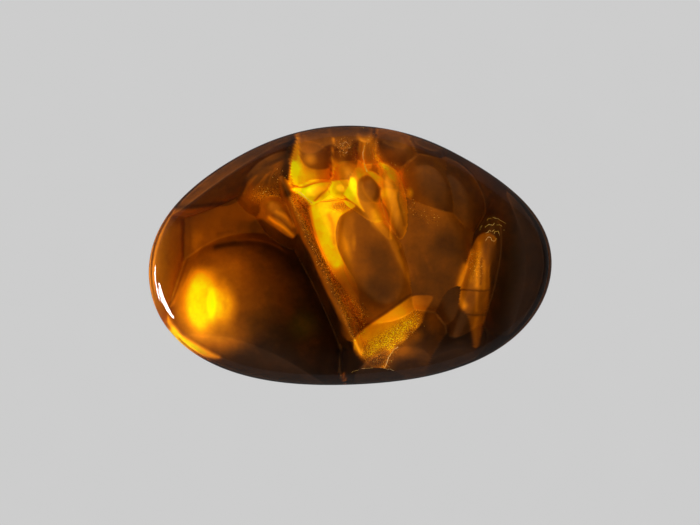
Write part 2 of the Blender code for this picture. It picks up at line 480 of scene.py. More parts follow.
def distance_to(path, closed=False):
    """How far each point of the fire layer is from a path, and whether it lies inside it."""
    nearest = np.full(seen_x.shape, FAR)
    inside = np.zeros(seen_x.shape, bool)
    ends = np.roll(path, -1, 0) if closed else path[1:]
    for (x1, y1), (x2, y2) in zip(path, ends):
        run_x, run_y = x2 - x1, y2 - y1
        share = ((seen_x - x1) * run_x + (seen_y - y1) * run_y) / max(run_x**2 + run_y**2, NO_LENGTH)
        share = np.clip(share, 0, 1)
        nearest = np.minimum(nearest, np.hypot(seen_x - x1 - share * run_x, seen_y - y1 - share * run_y))
        if closed and y1 != y2:
            crosses = (y1 > seen_y) != (y2 > seen_y)
            inside ^= crosses & (seen_x < x1 + (seen_y - y1) * run_x / run_y)
    return nearest, inside


print("a path gets", CURVE_STEPS, "steps between two of its points")


# %% Patches and strokes
def patch(names, points, value, edge=0.12, layer=tone):
    """A region with an edge, inside a closed smooth path."""
    nearest, inside = distance_to(through(points, True), True)
    lay(layer, value, on(names, smooth(0.5 + np.where(inside, nearest, -nearest) / edge)))


def stroke(names, points, width, value, strength=1.0, layer=tone):
    """A soft line along a smooth path."""
    nearest, inside = distance_to(through(points))
    lay(layer, value, on(names, strength * np.exp(-((nearest / width) ** 2))))


def moved_by(x, y, points):
    """The same points, all moved aside."""
    return tuple((point_x + x, point_y + y) for point_x, point_y in points)


print("tools: glow, wash, patch and stroke")

# %% [markdown]
# ## The great bubble
# It fills the lower left of the stone. Its left flank faces the light, so a painted highlight makes a
# yellow heart there, with a green ring on its right, then orange, and painted shade makes brown that dies
# away to black on the right. A thin light arc marks its upper edge, and along the stone's lower left rim
# a painted glow stands for light that shines out through the edge.

# %% Fire on the great bubble
# Painted shade darkens the right of the great bubble, and painted highlights make the yellow heart on its
# left flank, ringed with green and orange.
wash("great_bubble", (-6.0, 0.9), 0.25, (-5.0, -1.2), 0.175)
glow("great_bubble", -3.2, -1.9, 1.8, 2.4, 0.2, 0.9)
glow("great_bubble", -8.1, -2.3, 5.4, 4.7, 0.57)
glow("great_bubble", -7.4, -0.7, 1.6, 1.1, 0.5, 0.9)
glow("great_bubble", -8.2, -4.9, 2.9, 1.7, 0.56, 0.9)
glow("great_bubble", -9.3, -2.9, 2.3, 3.2, 0.78, 0.7)
glow("great_bubble", -7.75, -3.1, 1.15, 1.7, 0.94, 0.8)
glow("great_bubble", -9.1, -2.9, 1.5, 2.6, 0.985, 0.6)
glow("great_bubble", -9.3, -2.9, 0.95, 2.2, 1.025, 0.8)
glow("great_bubble", -8.5, -3.0, 0.42, 1.2, 1.2, 0.9)
stroke("great_bubble", ((-8.2, -2.2), (-8.0, -2.9), (-8.05, -3.7)), 0.2, 1.03, 0.4)
stroke("great_bubble", ((-7.75, -1.6), (-7.6, -2.5), (-7.7, -3.6)), 0.22, 0.84, 0.35)
glow("great_bubble", -8.45, -3.0, 0.45, 1.5, 0.55, 0.9, layer=green)
glow("great_bubble", -2.9, -4.3, 1.4, 1.3, 0.012, layer=green)
left_of_bubble = (
    (-9.2, 0.75), (-10.0, -1.2), (-10.6, -2.4), (-10.95, -3.1), (-11.7, -3.0), (-11.6, -0.4),
    (-10.3, 1.2),
)
patch("great_bubble", left_of_bubble, fade((-10.0, 0), 0.52, (-11.2, -2.8), 0.66), 0.1)
over_the_arc = (
    (-9.4, 0.5), (-8.2, 0.82), (-7.4, 0.95), (-6.4, 1.02), (-5.6, 0.95), (-4.85, 0.75), (-4.2, 0.42),
    (-3.5, 0.02), (-2.7, -0.4), (-2.5, 0.2), (-3.6, 1.5), (-5.5, 2.0), (-8.0, 1.9),
)
patch("great_bubble upper_left_shelf", over_the_arc, fade((-8.8, 1), 0.46, (-5.2, 0.9), 0.31), 0.12)
bottom_rim = ((-6.6, -7.0), (-4.5, -7.4), (-2.0, -7.7), (0.5, -7.8), (2.5, -7.6), (4.5, -7.0), (6.5, -6.2))
stroke("", bottom_rim, 0.8, 0.1, 0.85)
stroke("", ((-0.68, -4.9), (-0.72, -6.3), (-0.7, -7.8)), 0.25, 0.1, 0.9)
arc = (
    (-9.0, 0.5), (-8.4, 0.75), (-7.4, 0.92), (-6.4, 0.97), (-5.5, 0.88), (-4.85, 0.7), (-3.75, 0.12),
    (-2.75, -0.4),
)
stroke("great_bubble upper_left_shelf", arc, 0.07, 0.42, 0.8)
glow("great_bubble", -8.9, -0.2, 1.7, 0.9, 0.45, 0.9)
under_arc = (
    (-8.3, 0.5), (-7.3, 0.68), (-6.4, 0.73), (-5.5, 0.64), (-4.8, 0.42), (-3.9, -0.1), (-2.9, -0.9),
)
stroke("great_bubble", under_arc, 0.16, 0.2, 0.8)
# Painted light: a glow along the stone's lower left rim, where light shines out through the edge.
painted_rim_light = (
    (-11.0, -4.35), (-10.35, -4.95), (-9.6, -5.4), (-8.7, -5.9), (-8.0, -6.3), (-8.5, -6.4),
    (-9.3, -6.15), (-10.3, -5.6), (-11.1, -4.9),
)
patch("", painted_rim_light, fade((-9.9, -5.3), 0.93, (-7.9, -6.3), 0.7), 0.26)
stroke("", ((-11.35, -3.9), (-11.15, -4.3), (-10.8, -4.75)), 0.2, 0.93, 0.9)
print("tone on the great bubble up to", tone[owner == NUMBERS["great_bubble"]].max().round(2))

# %% [markdown]
# ## The quiet side, upper left
# A brown shelf and the left rim lie behind the great bubble, with a dark wedge over them. A speckled
# slope climbs to the right, and a small striped leaf is caught between.

# %% Fire on the shelf, the left rim and the wedge
wash("left_rim", (-11.3, -2.6), 0.68, (-10.6, 0.4), 0.59)
glow("left_rim", -10.2, 1.2, 0.35, 1.6, 0.4, 0.8)
glow("left_rim upper_left_shelf", -10.55, 2.4, 1.0, 0.9, 0.42, 0.9)
stroke("left_rim", ((-11.75, 0.3), (-11.95, -1.0), (-11.7, -2.4)), 0.2, 0.54, 0.6)
wash("upper_left_shelf", (-8.6, 1.8), 0.45, (-5.2, 1.0), 0.3)
glow("upper_left_shelf", -9.45, 0.9, 0.75, 1.1, 0.55, 0.9)
glow("upper_left_shelf", -9.0, 2.1, 1.4, 0.6, 0.46, 0.9)
glow("upper_left_shelf", -6.3, 2.5, 1.5, 0.7, 0.45, 0.9)
patch("upper_left_shelf great_bubble", over_the_arc, fade((-8.8, 1), 0.45, (-5.2, 0.9), 0.29), 0.5)
stroke("great_bubble upper_left_shelf", arc, 0.07, 0.4, 0.8)
stroke("upper_left_shelf", ((-8.2, 1.3), (-6.6, 1.55), (-5.2, 1.3), (-4.3, 0.9)), 0.09, 0.36, 0.6)
shelf_fold = ((-10.0, 2.5), (-9.9, 1.3), (-9.95, 0.2), (-10.3, -1.0), (-10.9, -2.6), (-11.2, -3.1))
stroke("left_rim upper_left_shelf great_bubble", shelf_fold, 0.08, 0.41, 0.75)
stroke("left_rim", ((-10.35, 2.4), (-10.3, 1.0), (-10.4, -0.4)), 0.06, 0.42, 0.6)
wash("dark_wedge", (-9.0, 3.6), 0.37, (-5.4, 6.2), 0.28)
wedge_foot = (
    (-11.3, 2.85), (-10.5, 2.8), (-9.5, 2.85), (-8.4, 2.95), (-7.5, 3.05), (-6.95, 3.35), (-6.6, 3.9),
    (-6.4, 4.4), (-5.9, 4.85), (-5.1, 5.35), (-4.2, 5.8), (-3.2, 6.35),
)
below_wedge = wedge_foot + ((-3.2, 3.4), (-5.2, 2.2), (-8.2, 1.7), (-10.6, 1.9), (-11.6, 2.2))
patch("dark_wedge dark_wedge_tip", below_wedge, fade((-9.4, 2.5), 0.47, (-5.6, 4.3), 0.35), 0.08)
patch("speckled_slope upper_left_shelf", wedge_foot + ((-3.6, 7.4), (-8.0, 7.0), (-11.6, 4.0)), 0.3, 0.08)
# A painted shadow line along the foot of the dark wedge.
stroke("dark_wedge dark_wedge_tip speckled_slope", moved_by(0, 0.16, wedge_foot), 0.12, 0.24, 0.9)
stroke("dark_wedge", ((-9.9, 3.3), (-8.4, 3.6), (-7.4, 4.4), (-6.6, 5.2)), 0.3, 0.36, 0.5)
print("tone on the shelf", tone[owner == NUMBERS["upper_left_shelf"]].mean().round(2))

# %% Fire on the speckled slope and the leaf
slope = "speckled_slope dark_wedge dark_wedge_tip upper_left_shelf"
glow(slope, -5.3, 3.6, 1.5, 0.9, 0.6, 0.9)
glow(slope, -4.5, 3.2, 0.9, 0.6, 0.62, 0.9)
glow("speckled_slope", -4.1, 4.9, 0.6, 1.1, 0.42, 0.9)
glow("speckled_slope", -5.2, 4.9, 1.1, 0.9, 0.31, 0.8)
stroke("", ((-3.3, 7.7), (-3.75, 6.4), (-3.98, 5.2), (-3.95, 4.3), (-3.8, 3.7)), 0.27, 0.18, 0.95)
for start, end, value in (
    ((-6.55, 3.75), (-5.75, 4.85), 0.5),
    ((-6.1, 3.5), (-5.1, 4.95), 0.54),
    ((-5.55, 3.9), (-4.9, 5.1), 0.47),
    ((-5.0, 4.2), (-4.6, 5.3), 0.5),
):
    bowed = ((start[0] + end[0]) / 2 - 0.08, (start[1] + end[1]) / 2)
    stroke(slope, (start, bowed, end), 0.06, value, 0.75)
glow(slope, -5.0, 3.6, 1.6, 0.85, 1.0, 0.8, layer=glitter)
glow(slope, -4.3, 4.6, 0.6, 1.3, 0.35, 0.8, layer=glitter)
below_leaf = (
    (-5.5, 2.2), (-4.8, 1.75), (-4.0, 1.2), (-3.4, 0.8), (-3.6, 0.4), (-4.6, 0.7), (-5.8, 1.1),
    (-6.2, 1.8),
)
patch("", below_leaf, 0.28, 0.2)
leaf = ((-3.75, 3.05), (-4.4, 2.75), (-5.05, 2.22), (-4.3, 1.6), (-3.4, 0.95), (-3.15, 1.4), (-3.35, 2.1))
patch("", leaf, 0.5, 0.07)
stroke("", ((-4.95, 2.25), (-4.55, 1.98), (-4.0, 1.6), (-3.5, 1.15)), 0.13, 0.84)
stroke("", ((-4.5, 2.62), (-3.95, 2.3), (-3.5, 1.75)), 0.12, 0.72)
stroke("", ((-4.75, 2.42), (-4.2, 2.1), (-3.55, 1.45)), 0.045, 0.42)
stroke("", ((-4.1, 2.75), (-3.75, 2.45), (-3.4, 1.95)), 0.05, 0.44)
print("glitter on", int((glitter > 0.5).sum()), "points")

# %% [markdown]
# ## The glitter band and the central bubble
# A band full of tiny sparks runs down between the great bubble and the central one. A painted highlight
# puts a yellow crescent on the central bubble's left flank, and painted shade makes its flat cap dull brown.

# %% Fire on the band and the central bubble
band = (
    (-3.7, 3.55), (-3.35, 2.6), (-2.95, 1.7), (-2.7, 1.0), (-2.25, 0.1), (-1.75, -1.0), (-1.2, -2.1),
    (-0.65, -3.2), (-0.2, -4.3), (0.05, -5.3), (0.35, -5.2), (0.9, -4.5), (0.5, -3.2), (-0.4, -2.1),
    (-1.1, -1.0), (-1.75, 0.05), (-2.1, 0.7), (-2.35, 1.5), (-2.5, 2.3), (-2.6, 3.1), (-3.2, 3.7),
)
dark_strip = (
    (-4.3, 1.35), (-3.6, 0.95), (-3.2, 1.3), (-2.95, 0.9), (-2.45, 0.05), (-2.0, -1.05), (-1.5, -2.15),
    (-0.95, -3.25), (-0.45, -4.35), (-0.2, -5.3), (0.15, -5.9), (0.55, -6.5), (0.8, -7.1), (0.6, -8.0),
    (-0.6, -8.0), (-0.8, -6.4), (-1.4, -4.6), (-2.3, -2.6), (-3.1, -0.9), (-4.4, 0.7),
)
patch("", dark_strip, fade((-3.6, 0.8), 0.24, (-2.4, -0.9), 0.165), 0.16)
patch("", band, fade((-2.7, 1.5), 0.5, (-0.2, -4.4), 0.46), 0.3)
stroke("", ((-3.3, 3.0), (-2.9, 2.0), (-2.5, 0.9), (-2.0, -0.2)), 0.13, 0.6, 0.6)
stroke("", ((-1.6, -1.2), (-0.9, -2.6), (-0.2, -4.2)), 0.2, 0.52, 0.6)
glow("", -3.15, 3.3, 0.75, 0.7, 0.78, 0.9)
band_shade = ((-2.85, 1.8), (-2.5, 0.93), (-1.9, -0.43), (-1.27, -1.86), (-0.65, -3.4), (-0.34, -4.96))
stroke("", band_shade, 0.2, 0.38, 0.8)
patch("", band, 1.0, 0.3, layer=glitter)
# Painted highlight: the yellow crescent on the central bubble's left flank.
crescent = (
    (-2.5, 3.12), (-2.42, 2.2), (-2.1, 1.0), (-1.7, 0.0), (-1.2, -0.9), (-0.75, -1.6), (-0.2, -2.3),
    (0.5, -2.7), (0.35, -1.7), (-0.1, -0.9), (-0.6, 0.0), (-0.85, 0.8), (-0.85, 1.6), (-0.6, 2.3),
    (0.0, 2.72), (0.3, 3.0), (-0.4, 3.35), (-1.2, 3.25), (-1.9, 3.2),
)
central = "central_bubble central_cap glitter_band"
patch("", crescent, fade((-1.4, 0.0), 0.95, (-0.5, -2.1), 0.56), 0.1)
stroke("", ((-2.0, 2.7), (-1.75, 1.9), (-1.5, 1.1), (-1.2, 0.3), (-0.85, -0.5)), 0.42, 1.0)
stroke("", ((-1.65, 1.7), (-1.35, 0.9), (-1.05, 0.1), (-0.8, -0.5)), 0.26, 1.02, 0.9)
stroke("", ((-1.3, 2.4), (-1.1, 1.9), (-1.02, 1.2), (-0.95, 0.7)), 0.13, 0.84, 0.7)
glow(central, -0.5, 2.95, 0.9, 0.42, 0.74, 0.8)
glow(central, -0.6, 2.9, 0.9, 0.5, 0.6, 0.8, layer=glitter)
stroke("", ((-2.47, 3.0), (-2.35, 2.2), (-2.05, 1.05), (-1.65, 0.05), (-1.1, -0.95)), 0.06, 0.8, 0.8)
stroke("", ((-2.25, 2.9), (-2.15, 2.2), (-1.85, 1.1), (-1.4, 0.0)), 0.14, 1.0, 0.7)
# Painted shade on the central bubble's flat cap.
cap = (
    (0.05, 2.72), (-0.58, 2.3), (-0.83, 1.6), (-0.83, 0.8), (-0.58, 0.0), (-0.1, -0.9), (0.5, -1.8),
    (1.2, -2.5), (3.4, -2.4), (3.0, -0.6), (2.3, 0.9), (1.6, 1.6), (0.9, 2.5), (0.45, 2.85),
)
patch(central, cap, fade((-0.6, 0.9), 0.66, (0.5, 0.9), 0.47), 0.08)
glow(central, -0.35, 0.5, 0.42, 1.2, 0.8, 0.9, 20)
glow(central, 0.2, 0.75, 0.22, 0.75, 0.62, 0.9)
glow(central, -0.2, 1.9, 0.6, 0.8, 0.56, 0.9)
glow(central, 1.9, -0.6, 1.6, 2.4, 0.33, 0.9, 25)
glow(central, 0.9, 1.9, 0.9, 0.8, 0.45, 0.9)
glow("central_bubble central_cap", 1.6, -2.3, 2.0, 1.6, 0.26, 0.9)
right_line = (
    (0.5, 2.95), (0.95, 2.5), (1.6, 1.65), (2.3, 0.92), (2.7, 0.05), (3.2, -1.0), (3.7, -2.0),
    (3.9, -2.5),
)
stroke("", moved_by(0.1, 0.06, right_line), 0.2, 0.64, 0.8)
glow("central_bubble glitter_band", -0.1, -3.2, 0.9, 1.3, 0.56, 0.9)
glow("central_bubble glitter_band", 0.3, -3.5, 1.1, 1.3, 0.9, 0.9, layer=glitter)
for shift in (0, 0.28, 0.55):
    strand = ((-0.45 + shift, -2.5), (0.0 + shift, -3.3), (0.2 + shift, -4.3))
    stroke("central_bubble glitter_band", strand, 0.07, 0.58, 0.7)
print("tone on the central bubble up to", tone[owner == NUMBERS["central_bubble"]].max().round(2))

# %% [markdown]
# ## The upper bubbles
# Three bubbles stand shoulder to shoulder along the top. Each has a cap darkened by painted shade and a
# foot lit by a painted highlight, and two small collars fill the gap over the central bubble. To the right
# a narrow bubble and a chain of amber steps lead down, and behind them painted highlights, crescents of
# gold, mark the edges of bubbles that face away.

# %% Fire on the upper bubbles
# Painted highlights on the feet and left flanks of the upper bubbles.
upper = (
    (-3.05, 7.7), (-3.45, 6.6), (-3.72, 5.2), (-3.72, 4.3), (-2.8, 4.1), (-1.9, 4.35), (-1.2, 4.65),
    (-1.2, 7.8),
)
patch("", upper, fade((-3.2, 5), 0.9, (-1.5, 5.2), 0.7), 0.08)
glow("upper_bubble upper_collar glitter_band", -3.45, 4.9, 0.85, 1.35, 1.05, 0.9)
glow("upper_bubble upper_collar", -2.7, 4.75, 1.2, 0.65, 0.95, 0.8)
# Painted shade on the upper bubble's cap.
shaded_cap = (
    (-3.15, 7.3), (-3.12, 6.4), (-2.95, 5.75), (-2.5, 5.32), (-1.9, 5.2), (-1.4, 5.28), (-1.25, 5.6),
    (-1.25, 7.45), (-2.2, 7.55),
)
patch("", shaded_cap, fade((-2.9, 6.0), 0.52, (-1.8, 6.8), 0.39), 0.16)
glow("", -2.5, 5.8, 0.65, 0.5, 0.7, 0.9)
stroke("", ((-3.2, 7.2), (-3.35, 6.4), (-3.4, 5.9)), 0.14, 0.78, 0.8)
stroke("", ((-2.9, 7.35), (-2.2, 7.5), (-1.3, 7.4)), 0.08, 0.6, 0.7)
under_upper = ((-3.65, 4.32), (-3.1, 4.12), (-2.85, 4.12), (-2.3, 4.32), (-1.7, 4.42), (-1.25, 4.62))
stroke("", under_upper, 0.045, 0.66, 0.85)
collar = (
    (-3.5, 4.05), (-2.85, 4.05), (-2.3, 4.28), (-1.7, 4.4), (-1.28, 4.4), (-1.45, 4.0), (-1.75, 3.75),
    (-2.2, 3.2), (-2.6, 3.3),
)
patch("", collar, fade((-2.7, 3.9), 1.02, (-1.4, 4.0), 0.88), 0.07)
stroke("", ((-3.55, 4.0), (-3.0, 3.72), (-2.6, 3.4), (-2.3, 3.12)), 0.1, 1.04, 0.95)
middle = (
    (-1.13, 7.8), (-1.12, 4.75), (-1.15, 4.5), (-0.35, 4.55), (-0.05, 4.9), (0.3, 5.3), (0.5, 6.0),
    (0.5, 7.7),
)
patch("", middle, fade((-0.5, 5.3), 0.72, (-0.3, 6.0), 0.4), 0.06)
glow("upper_middle upper_bubble", -0.95, 5.1, 0.35, 0.9, 0.92, 0.9)
glow("upper_middle", 0.25, 5.6, 0.35, 1.0, 0.48, 0.9)
glow("upper_middle", -0.5, 6.15, 0.6, 0.6, 0.52, 0.9)
glow("upper_middle", -0.35, 6.6, 0.85, 0.9, 0.8, 0.7, layer=glitter)
glow("upper_middle upper_right_sliver", 0.35, 6.0, 0.25, 1.2, 0.7, 0.7, layer=glitter)
stroke("", ((-1.2, 7.5), (-1.22, 6.6), (-1.18, 5.6), (-1.22, 4.8)), 0.045, 0.42, 0.8)
stroke("", ((-1.05, 7.2), (-1.08, 6.4), (-1.05, 5.4)), 0.05, 0.84, 0.7)
# Painted highlight on the foot of the middle bubble.
middle_foot = (
    (-1.15, 4.5), (-0.4, 4.55), (-0.1, 4.5), (-0.35, 3.8), (-0.45, 3.5), (-1.2, 3.38), (-1.95, 3.32),
    (-1.65, 3.75), (-1.3, 4.1),
)
patch("", middle_foot, fade((-1.1, 3.8), 0.98, (-0.4, 4.2), 0.88), 0.06)
stroke("", ((-1.2, 4.55), (-0.7, 4.58), (-0.2, 4.65)), 0.045, 0.64, 0.8)
stroke("", ((-2.25, 3.15), (-1.7, 3.28), (-1.2, 3.33), (-0.5, 3.42), (-0.3, 3.5)), 0.06, 1.03, 0.9)
stroke("", ((-1.2, 4.4), (-1.45, 3.95), (-1.75, 3.7), (-2.15, 3.3)), 0.05, 0.7, 0.8)
stroke("", ((-3.1, 7.75), (-1.0, 7.85), (1.4, 7.7), (4.0, 6.95)), 0.55, 0.23, 0.95)
print("mean tone of the upper bubbles", tone[owner == NUMBERS["upper_bubble"]].mean().round(2))

# %% Fire on the narrow bubble
narrow = (
    (-0.35, 3.62), (-0.15, 4.3), (0.0, 4.8), (0.35, 5.3), (0.6, 5.35), (0.95, 5.0), (1.4, 4.6),
    (1.8, 4.1), (1.85, 3.4), (2.3, 2.7), (2.35, 1.6), (2.3, 0.95), (1.6, 1.65), (0.95, 2.5), (0.5, 2.95),
    (0.1, 3.15),
)
patch("", narrow, fade((0.2, 4.6), 0.8, (1.9, 1.6), 0.64), 0.07)
# Painted highlight on the narrow bubble's left flank, which faces the light.
painted_flank_light = (
    (-0.36, 3.62), (-0.15, 4.2), (0.0, 4.7), (0.3, 4.62), (0.45, 4.1), (0.45, 3.6), (0.6, 3.1),
    (0.85, 2.6), (0.35, 3.0),
)
patch("", painted_flank_light, fade((0.1, 3.9), 1.03, (0.65, 2.8), 0.97), 0.16)
glow("", 0.5, 4.75, 0.35, 0.35, 0.88, 0.8)
# Painted shade on the narrow bubble's cap.
narrow_cap = (
    (0.5, 4.5), (0.42, 4.0), (0.5, 3.5), (0.9, 3.2), (1.4, 3.2), (1.75, 3.5), (1.8, 4.0), (1.5, 4.5),
    (1.0, 4.85),
)
patch("", narrow_cap, fade((0.6, 3.6), 0.62, (1.3, 4.2), 0.47), 0.18)
glow("", 1.55, 2.35, 0.65, 1.1, 0.86, 0.9, 25)
glow("", 1.25, 3.0, 0.4, 0.35, 0.7, 0.9)
glow("narrow_bubble", 2.1, 1.35, 0.4, 0.5, 0.52, 0.9)
stroke("", ((1.85, 4.0), (1.85, 3.4), (2.2, 2.8), (2.38, 2.2), (2.3, 1.1)), 0.06, 0.5, 0.8)
print("mean tone of the narrow bubble", tone[owner == NUMBERS["narrow_bubble"]].mean().round(2))

# %% Fire on the amber steps and the right-hand crescents
sliver = (
    (0.52, 7.7), (0.5, 6.0), (0.42, 5.4), (0.7, 5.3), (0.95, 5.05), (1.25, 5.3), (1.35, 6.2), (1.35, 7.6),
)
patch("", sliver, fade((0.7, 6.4), 0.7, (1.2, 6.6), 0.58), 0.08)
glow("", 0.8, 7.7, 0.9, 0.7, 0.28, 0.8)
stroke("", ((0.82, 7.0), (0.84, 6.6), (0.78, 6.0), (0.86, 5.5), (1.0, 5.05)), 0.055, 0.97, 0.9)
step_band = (
    (0.95, 5.05), (1.3, 5.1), (1.8, 4.8), (2.15, 4.5), (2.6, 4.2), (2.5, 3.9), (1.95, 4.0), (1.7, 4.2),
    (1.4, 4.6),
)
patch("", step_band, fade((1.5, 4.8), 0.86, (2.5, 4.1), 0.74), 0.14)
step = (
    (1.9, 4.05), (2.5, 4.0), (2.95, 3.9), (3.05, 3.2), (3.25, 2.4), (3.1, 0.6), (2.75, 0.3), (2.35, 0.95),
    (2.38, 2.4), (1.9, 3.3),
)
patch("", step, fade((2.2, 3.6), 0.82, (2.9, 0.9), 0.58), 0.12)
glow("", 2.1, 3.75, 0.45, 0.55, 0.95, 0.9)
glow("", 2.6, 4.75, 0.6, 0.5, 0.83, 0.8)
stroke("", ((2.5, 2.9), (2.42, 2.2), (2.4, 1.4), (2.45, 1.0)), 0.09, 0.86, 0.75)
stroke("", ((3.0, 4.2), (2.9, 3.4), (3.1, 2.6), (3.25, 1.8)), 0.08, 0.5, 0.7)
glow("", 2.9, 1.3, 0.35, 0.9, 0.5, 0.9)
wash("right_shoulder", (1.8, 5.6), 0.5, (3.4, 6.2), 0.4)
glow("right_shoulder upper_right_sliver", 2.3, 6.9, 1.3, 0.8, 0.28, 0.9)
# Painted highlights: gold crescents along the edges of the right shoulder and the right bubble.
shoulder_edge = ((1.3, 6.8), (1.55, 6.1), (1.85, 5.6), (2.2, 5.3), (2.6, 5.15), (3.05, 5.1))
stroke("", shoulder_edge, 0.28, 0.8, 0.9)
stroke("", ((1.6, 6.0), (1.85, 5.6), (2.15, 5.35)), 0.14, 0.93, 0.8)
stroke("", shoulder_edge, 0.4, 0.5, layer=glitter)
wash("right_bubble", (3.8, 3.6), 0.5, (5.2, 4.2), 0.31)
wash("right_crown", (3.2, 5.4), 0.34, (5.0, 6.0), 0.27)
right_edge = ((3.0, 5.2), (3.02, 4.6), (3.2, 3.9), (3.45, 3.3), (3.9, 2.75), (4.5, 2.35), (5.0, 2.2))
stroke("", right_edge, 0.22, 0.66, 0.9)
glow("right_bubble", 3.6, 3.75, 0.3, 0.45, 0.76, 0.9)
glow("right_bubble", 3.6, 3.75, 0.3, 0.45, 0.1, 0.9, layer=green)
stroke("", right_edge, 0.4, 0.35, layer=glitter)
glow("right_bubble", 5.0, 4.3, 1.2, 1.4, 0.32, 0.9)
glow("right_bubble", 4.5, 2.9, 0.7, 0.4, 0.46, 0.9)
glow("middle_right_bubble faint_bubble right_bubble", 5.2, 2.0, 0.55, 0.45, 0.55, 0.9)
wash("faint_bubble", (5.5, 2.4), 0.4, (6.8, 3.6), 0.27)
wash("middle_right_bubble", (3.5, 1.2), 0.43, (4.8, -0.8), 0.325)
stroke("middle_right_bubble", ((4.0, 2.4), (4.6, 1.4), (4.9, 0.2), (5.5, -0.9)), 0.3, 0.36, 0.6)
stroke("middle_right_bubble", ((3.3, 0.8), (3.6, -0.2), (4.1, -1.2), (4.3, -2.0)), 0.16, 0.4, 0.4)
glow("middle_right_bubble valley faint_bubble", 5.9, 0.2, 1.7, 2.4, 0.265, 0.9)
glow("middle_right_bubble", 3.3, -0.6, 0.45, 1.6, 0.46, 0.9, 25)
glow("middle_right_bubble valley", 5.6, -0.6, 1.0, 1.6, 0.31, 0.9)
stroke("middle_right_bubble", ((3.3, 1.9), (3.9, 1.5), (4.3, 0.4), (4.9, -1.0)), 0.12, 0.4, 0.5)
print("tone on the right-hand bubbles", tone[owner == NUMBERS["right_bubble"]].mean().round(2))

# %% [markdown]
# ## Painted highlights along seams
# Where two crowded bubbles meet, the film is bent round the edge and catches a little more light, so a
# painted highlight, a little more tone, goes along each seam. The surface already knows how far each point
# stands over the next bubble, and that is small at a seam.

# %% Painted highlights along seams
SEAM_WIDTH = 0.1
SEAM_LIGHT = 0.07
crowded = (
    "upper_bubble upper_collar upper_middle middle_collar upper_right_sliver narrow_bubble "
    "narrow_bubble_cap small_step right_shoulder right_crown right_bubble"
)
lay(tone, tone + SEAM_LIGHT, on(crowded, smooth(1 - seam / SEAM_WIDTH)))
print("points near a seam:", int((seam < SEAM_WIDTH).sum()))

# %% [markdown]
# ## The lower right
# The lower bubble shows a broad golden plate, cut off on the right by a healed seam. A bright-edged
# bubble stands by itself further right, striped up and down, and the stone's right end, away from the
# light, stays dark with painted shade.

# %% Fire on the lower bubble
wash("lower_bubble", (3.0, -5.4), 0.46, (4.6, -5.2), 0.24)
beside_plate = (
    (-1.2, -4.6), (-0.25, -5.2), (0.15, -5.35), (0.25, -5.95), (0.85, -6.6), (1.4, -6.85), (2.0, -7.0),
    (1.0, -7.1), (0.0, -7.2), (-0.5, -7.3), (-1.0, -8.5), (-2.0, -6.2),
)
patch("", beside_plate, 0.15, 0.12)
glow("lower_bubble lower_right_shade", 3.6, -7.0, 1.9, 1.2, 0.18, 0.7)
plate_edge = ((0.2, -5.15), (1.0, -4.4), (2.0, -3.7), (3.0, -3.0), (3.7, -2.55), (4.3, -2.45), (5.0, -2.55))
right_of_seam = (
    (4.6, -3.4), (4.3, -4.2), (3.5, -5.0), (2.95, -5.55), (2.55, -5.9), (2.3, -6.4), (2.1, -6.95),
)
plate = plate_edge + right_of_seam + ((1.4, -6.9), (0.9, -6.5), (0.3, -5.9))
patch("", plate, fade((3.2, -3.7), 0.87, (4.8, -2.8), 0.46), 0.1)
stroke("lower_bubble", ((0.5, -5.2), (1.2, -4.75), (2.1, -4.15), (3.0, -3.5), (3.6, -3.05)), 0.42, 0.895)
glow("lower_bubble", 0.8, -5.7, 0.7, 0.7, 0.75, 0.9)
glow("lower_bubble", 2.0, -6.2, 0.8, 0.7, 0.4, 0.9)
glow("lower_bubble", 1.5, -6.6, 1.1, 0.6, 0.29, 0.8)
glow("lower_bubble", 3.9, -4.9, 0.8, 0.6, 0.46, 0.9)
glow("lower_bubble", 4.3, -3.1, 0.6, 0.6, 0.6, 0.9)
glittering = (
    (0.5, -5.7), (1.4, -5.1), (2.4, -4.5), (3.3, -3.9), (4.2, -3.2), (4.3, -4.2), (2.95, -5.55),
    (2.2, -6.8), (1.0, -6.5),
)
patch("lower_bubble", glittering, 1.0, 0.7, layer=glitter)
stroke("", moved_by(-0.05, 0.12, plate_edge), 0.07, 0.3, 0.7)
glow("lower_bubble", 3.1, -5.7, 0.6, 0.6, 0.46, 0.9)
glow("lower_bubble lower_right_shade", 5.0, -4.0, 0.9, 1.1, 0.38, 0.9)
foot = (
    (-0.4, -7.15), (0.0, -7.2), (0.8, -6.98), (1.6, -6.92), (2.2, -6.98), (2.8, -7.2), (3.4, -7.6),
    (2.2, -8.2), (0.2, -8.2),
)
patch("", foot, 0.1, 0.1)
stroke("", ((0.3, -5.9), (0.6, -6.3), (0.95, -6.6), (0.8, -6.95)), 0.1, 0.4, 0.7)
print("mean tone of the lower bubble", tone[owner == NUMBERS["lower_bubble"]].mean().round(2))

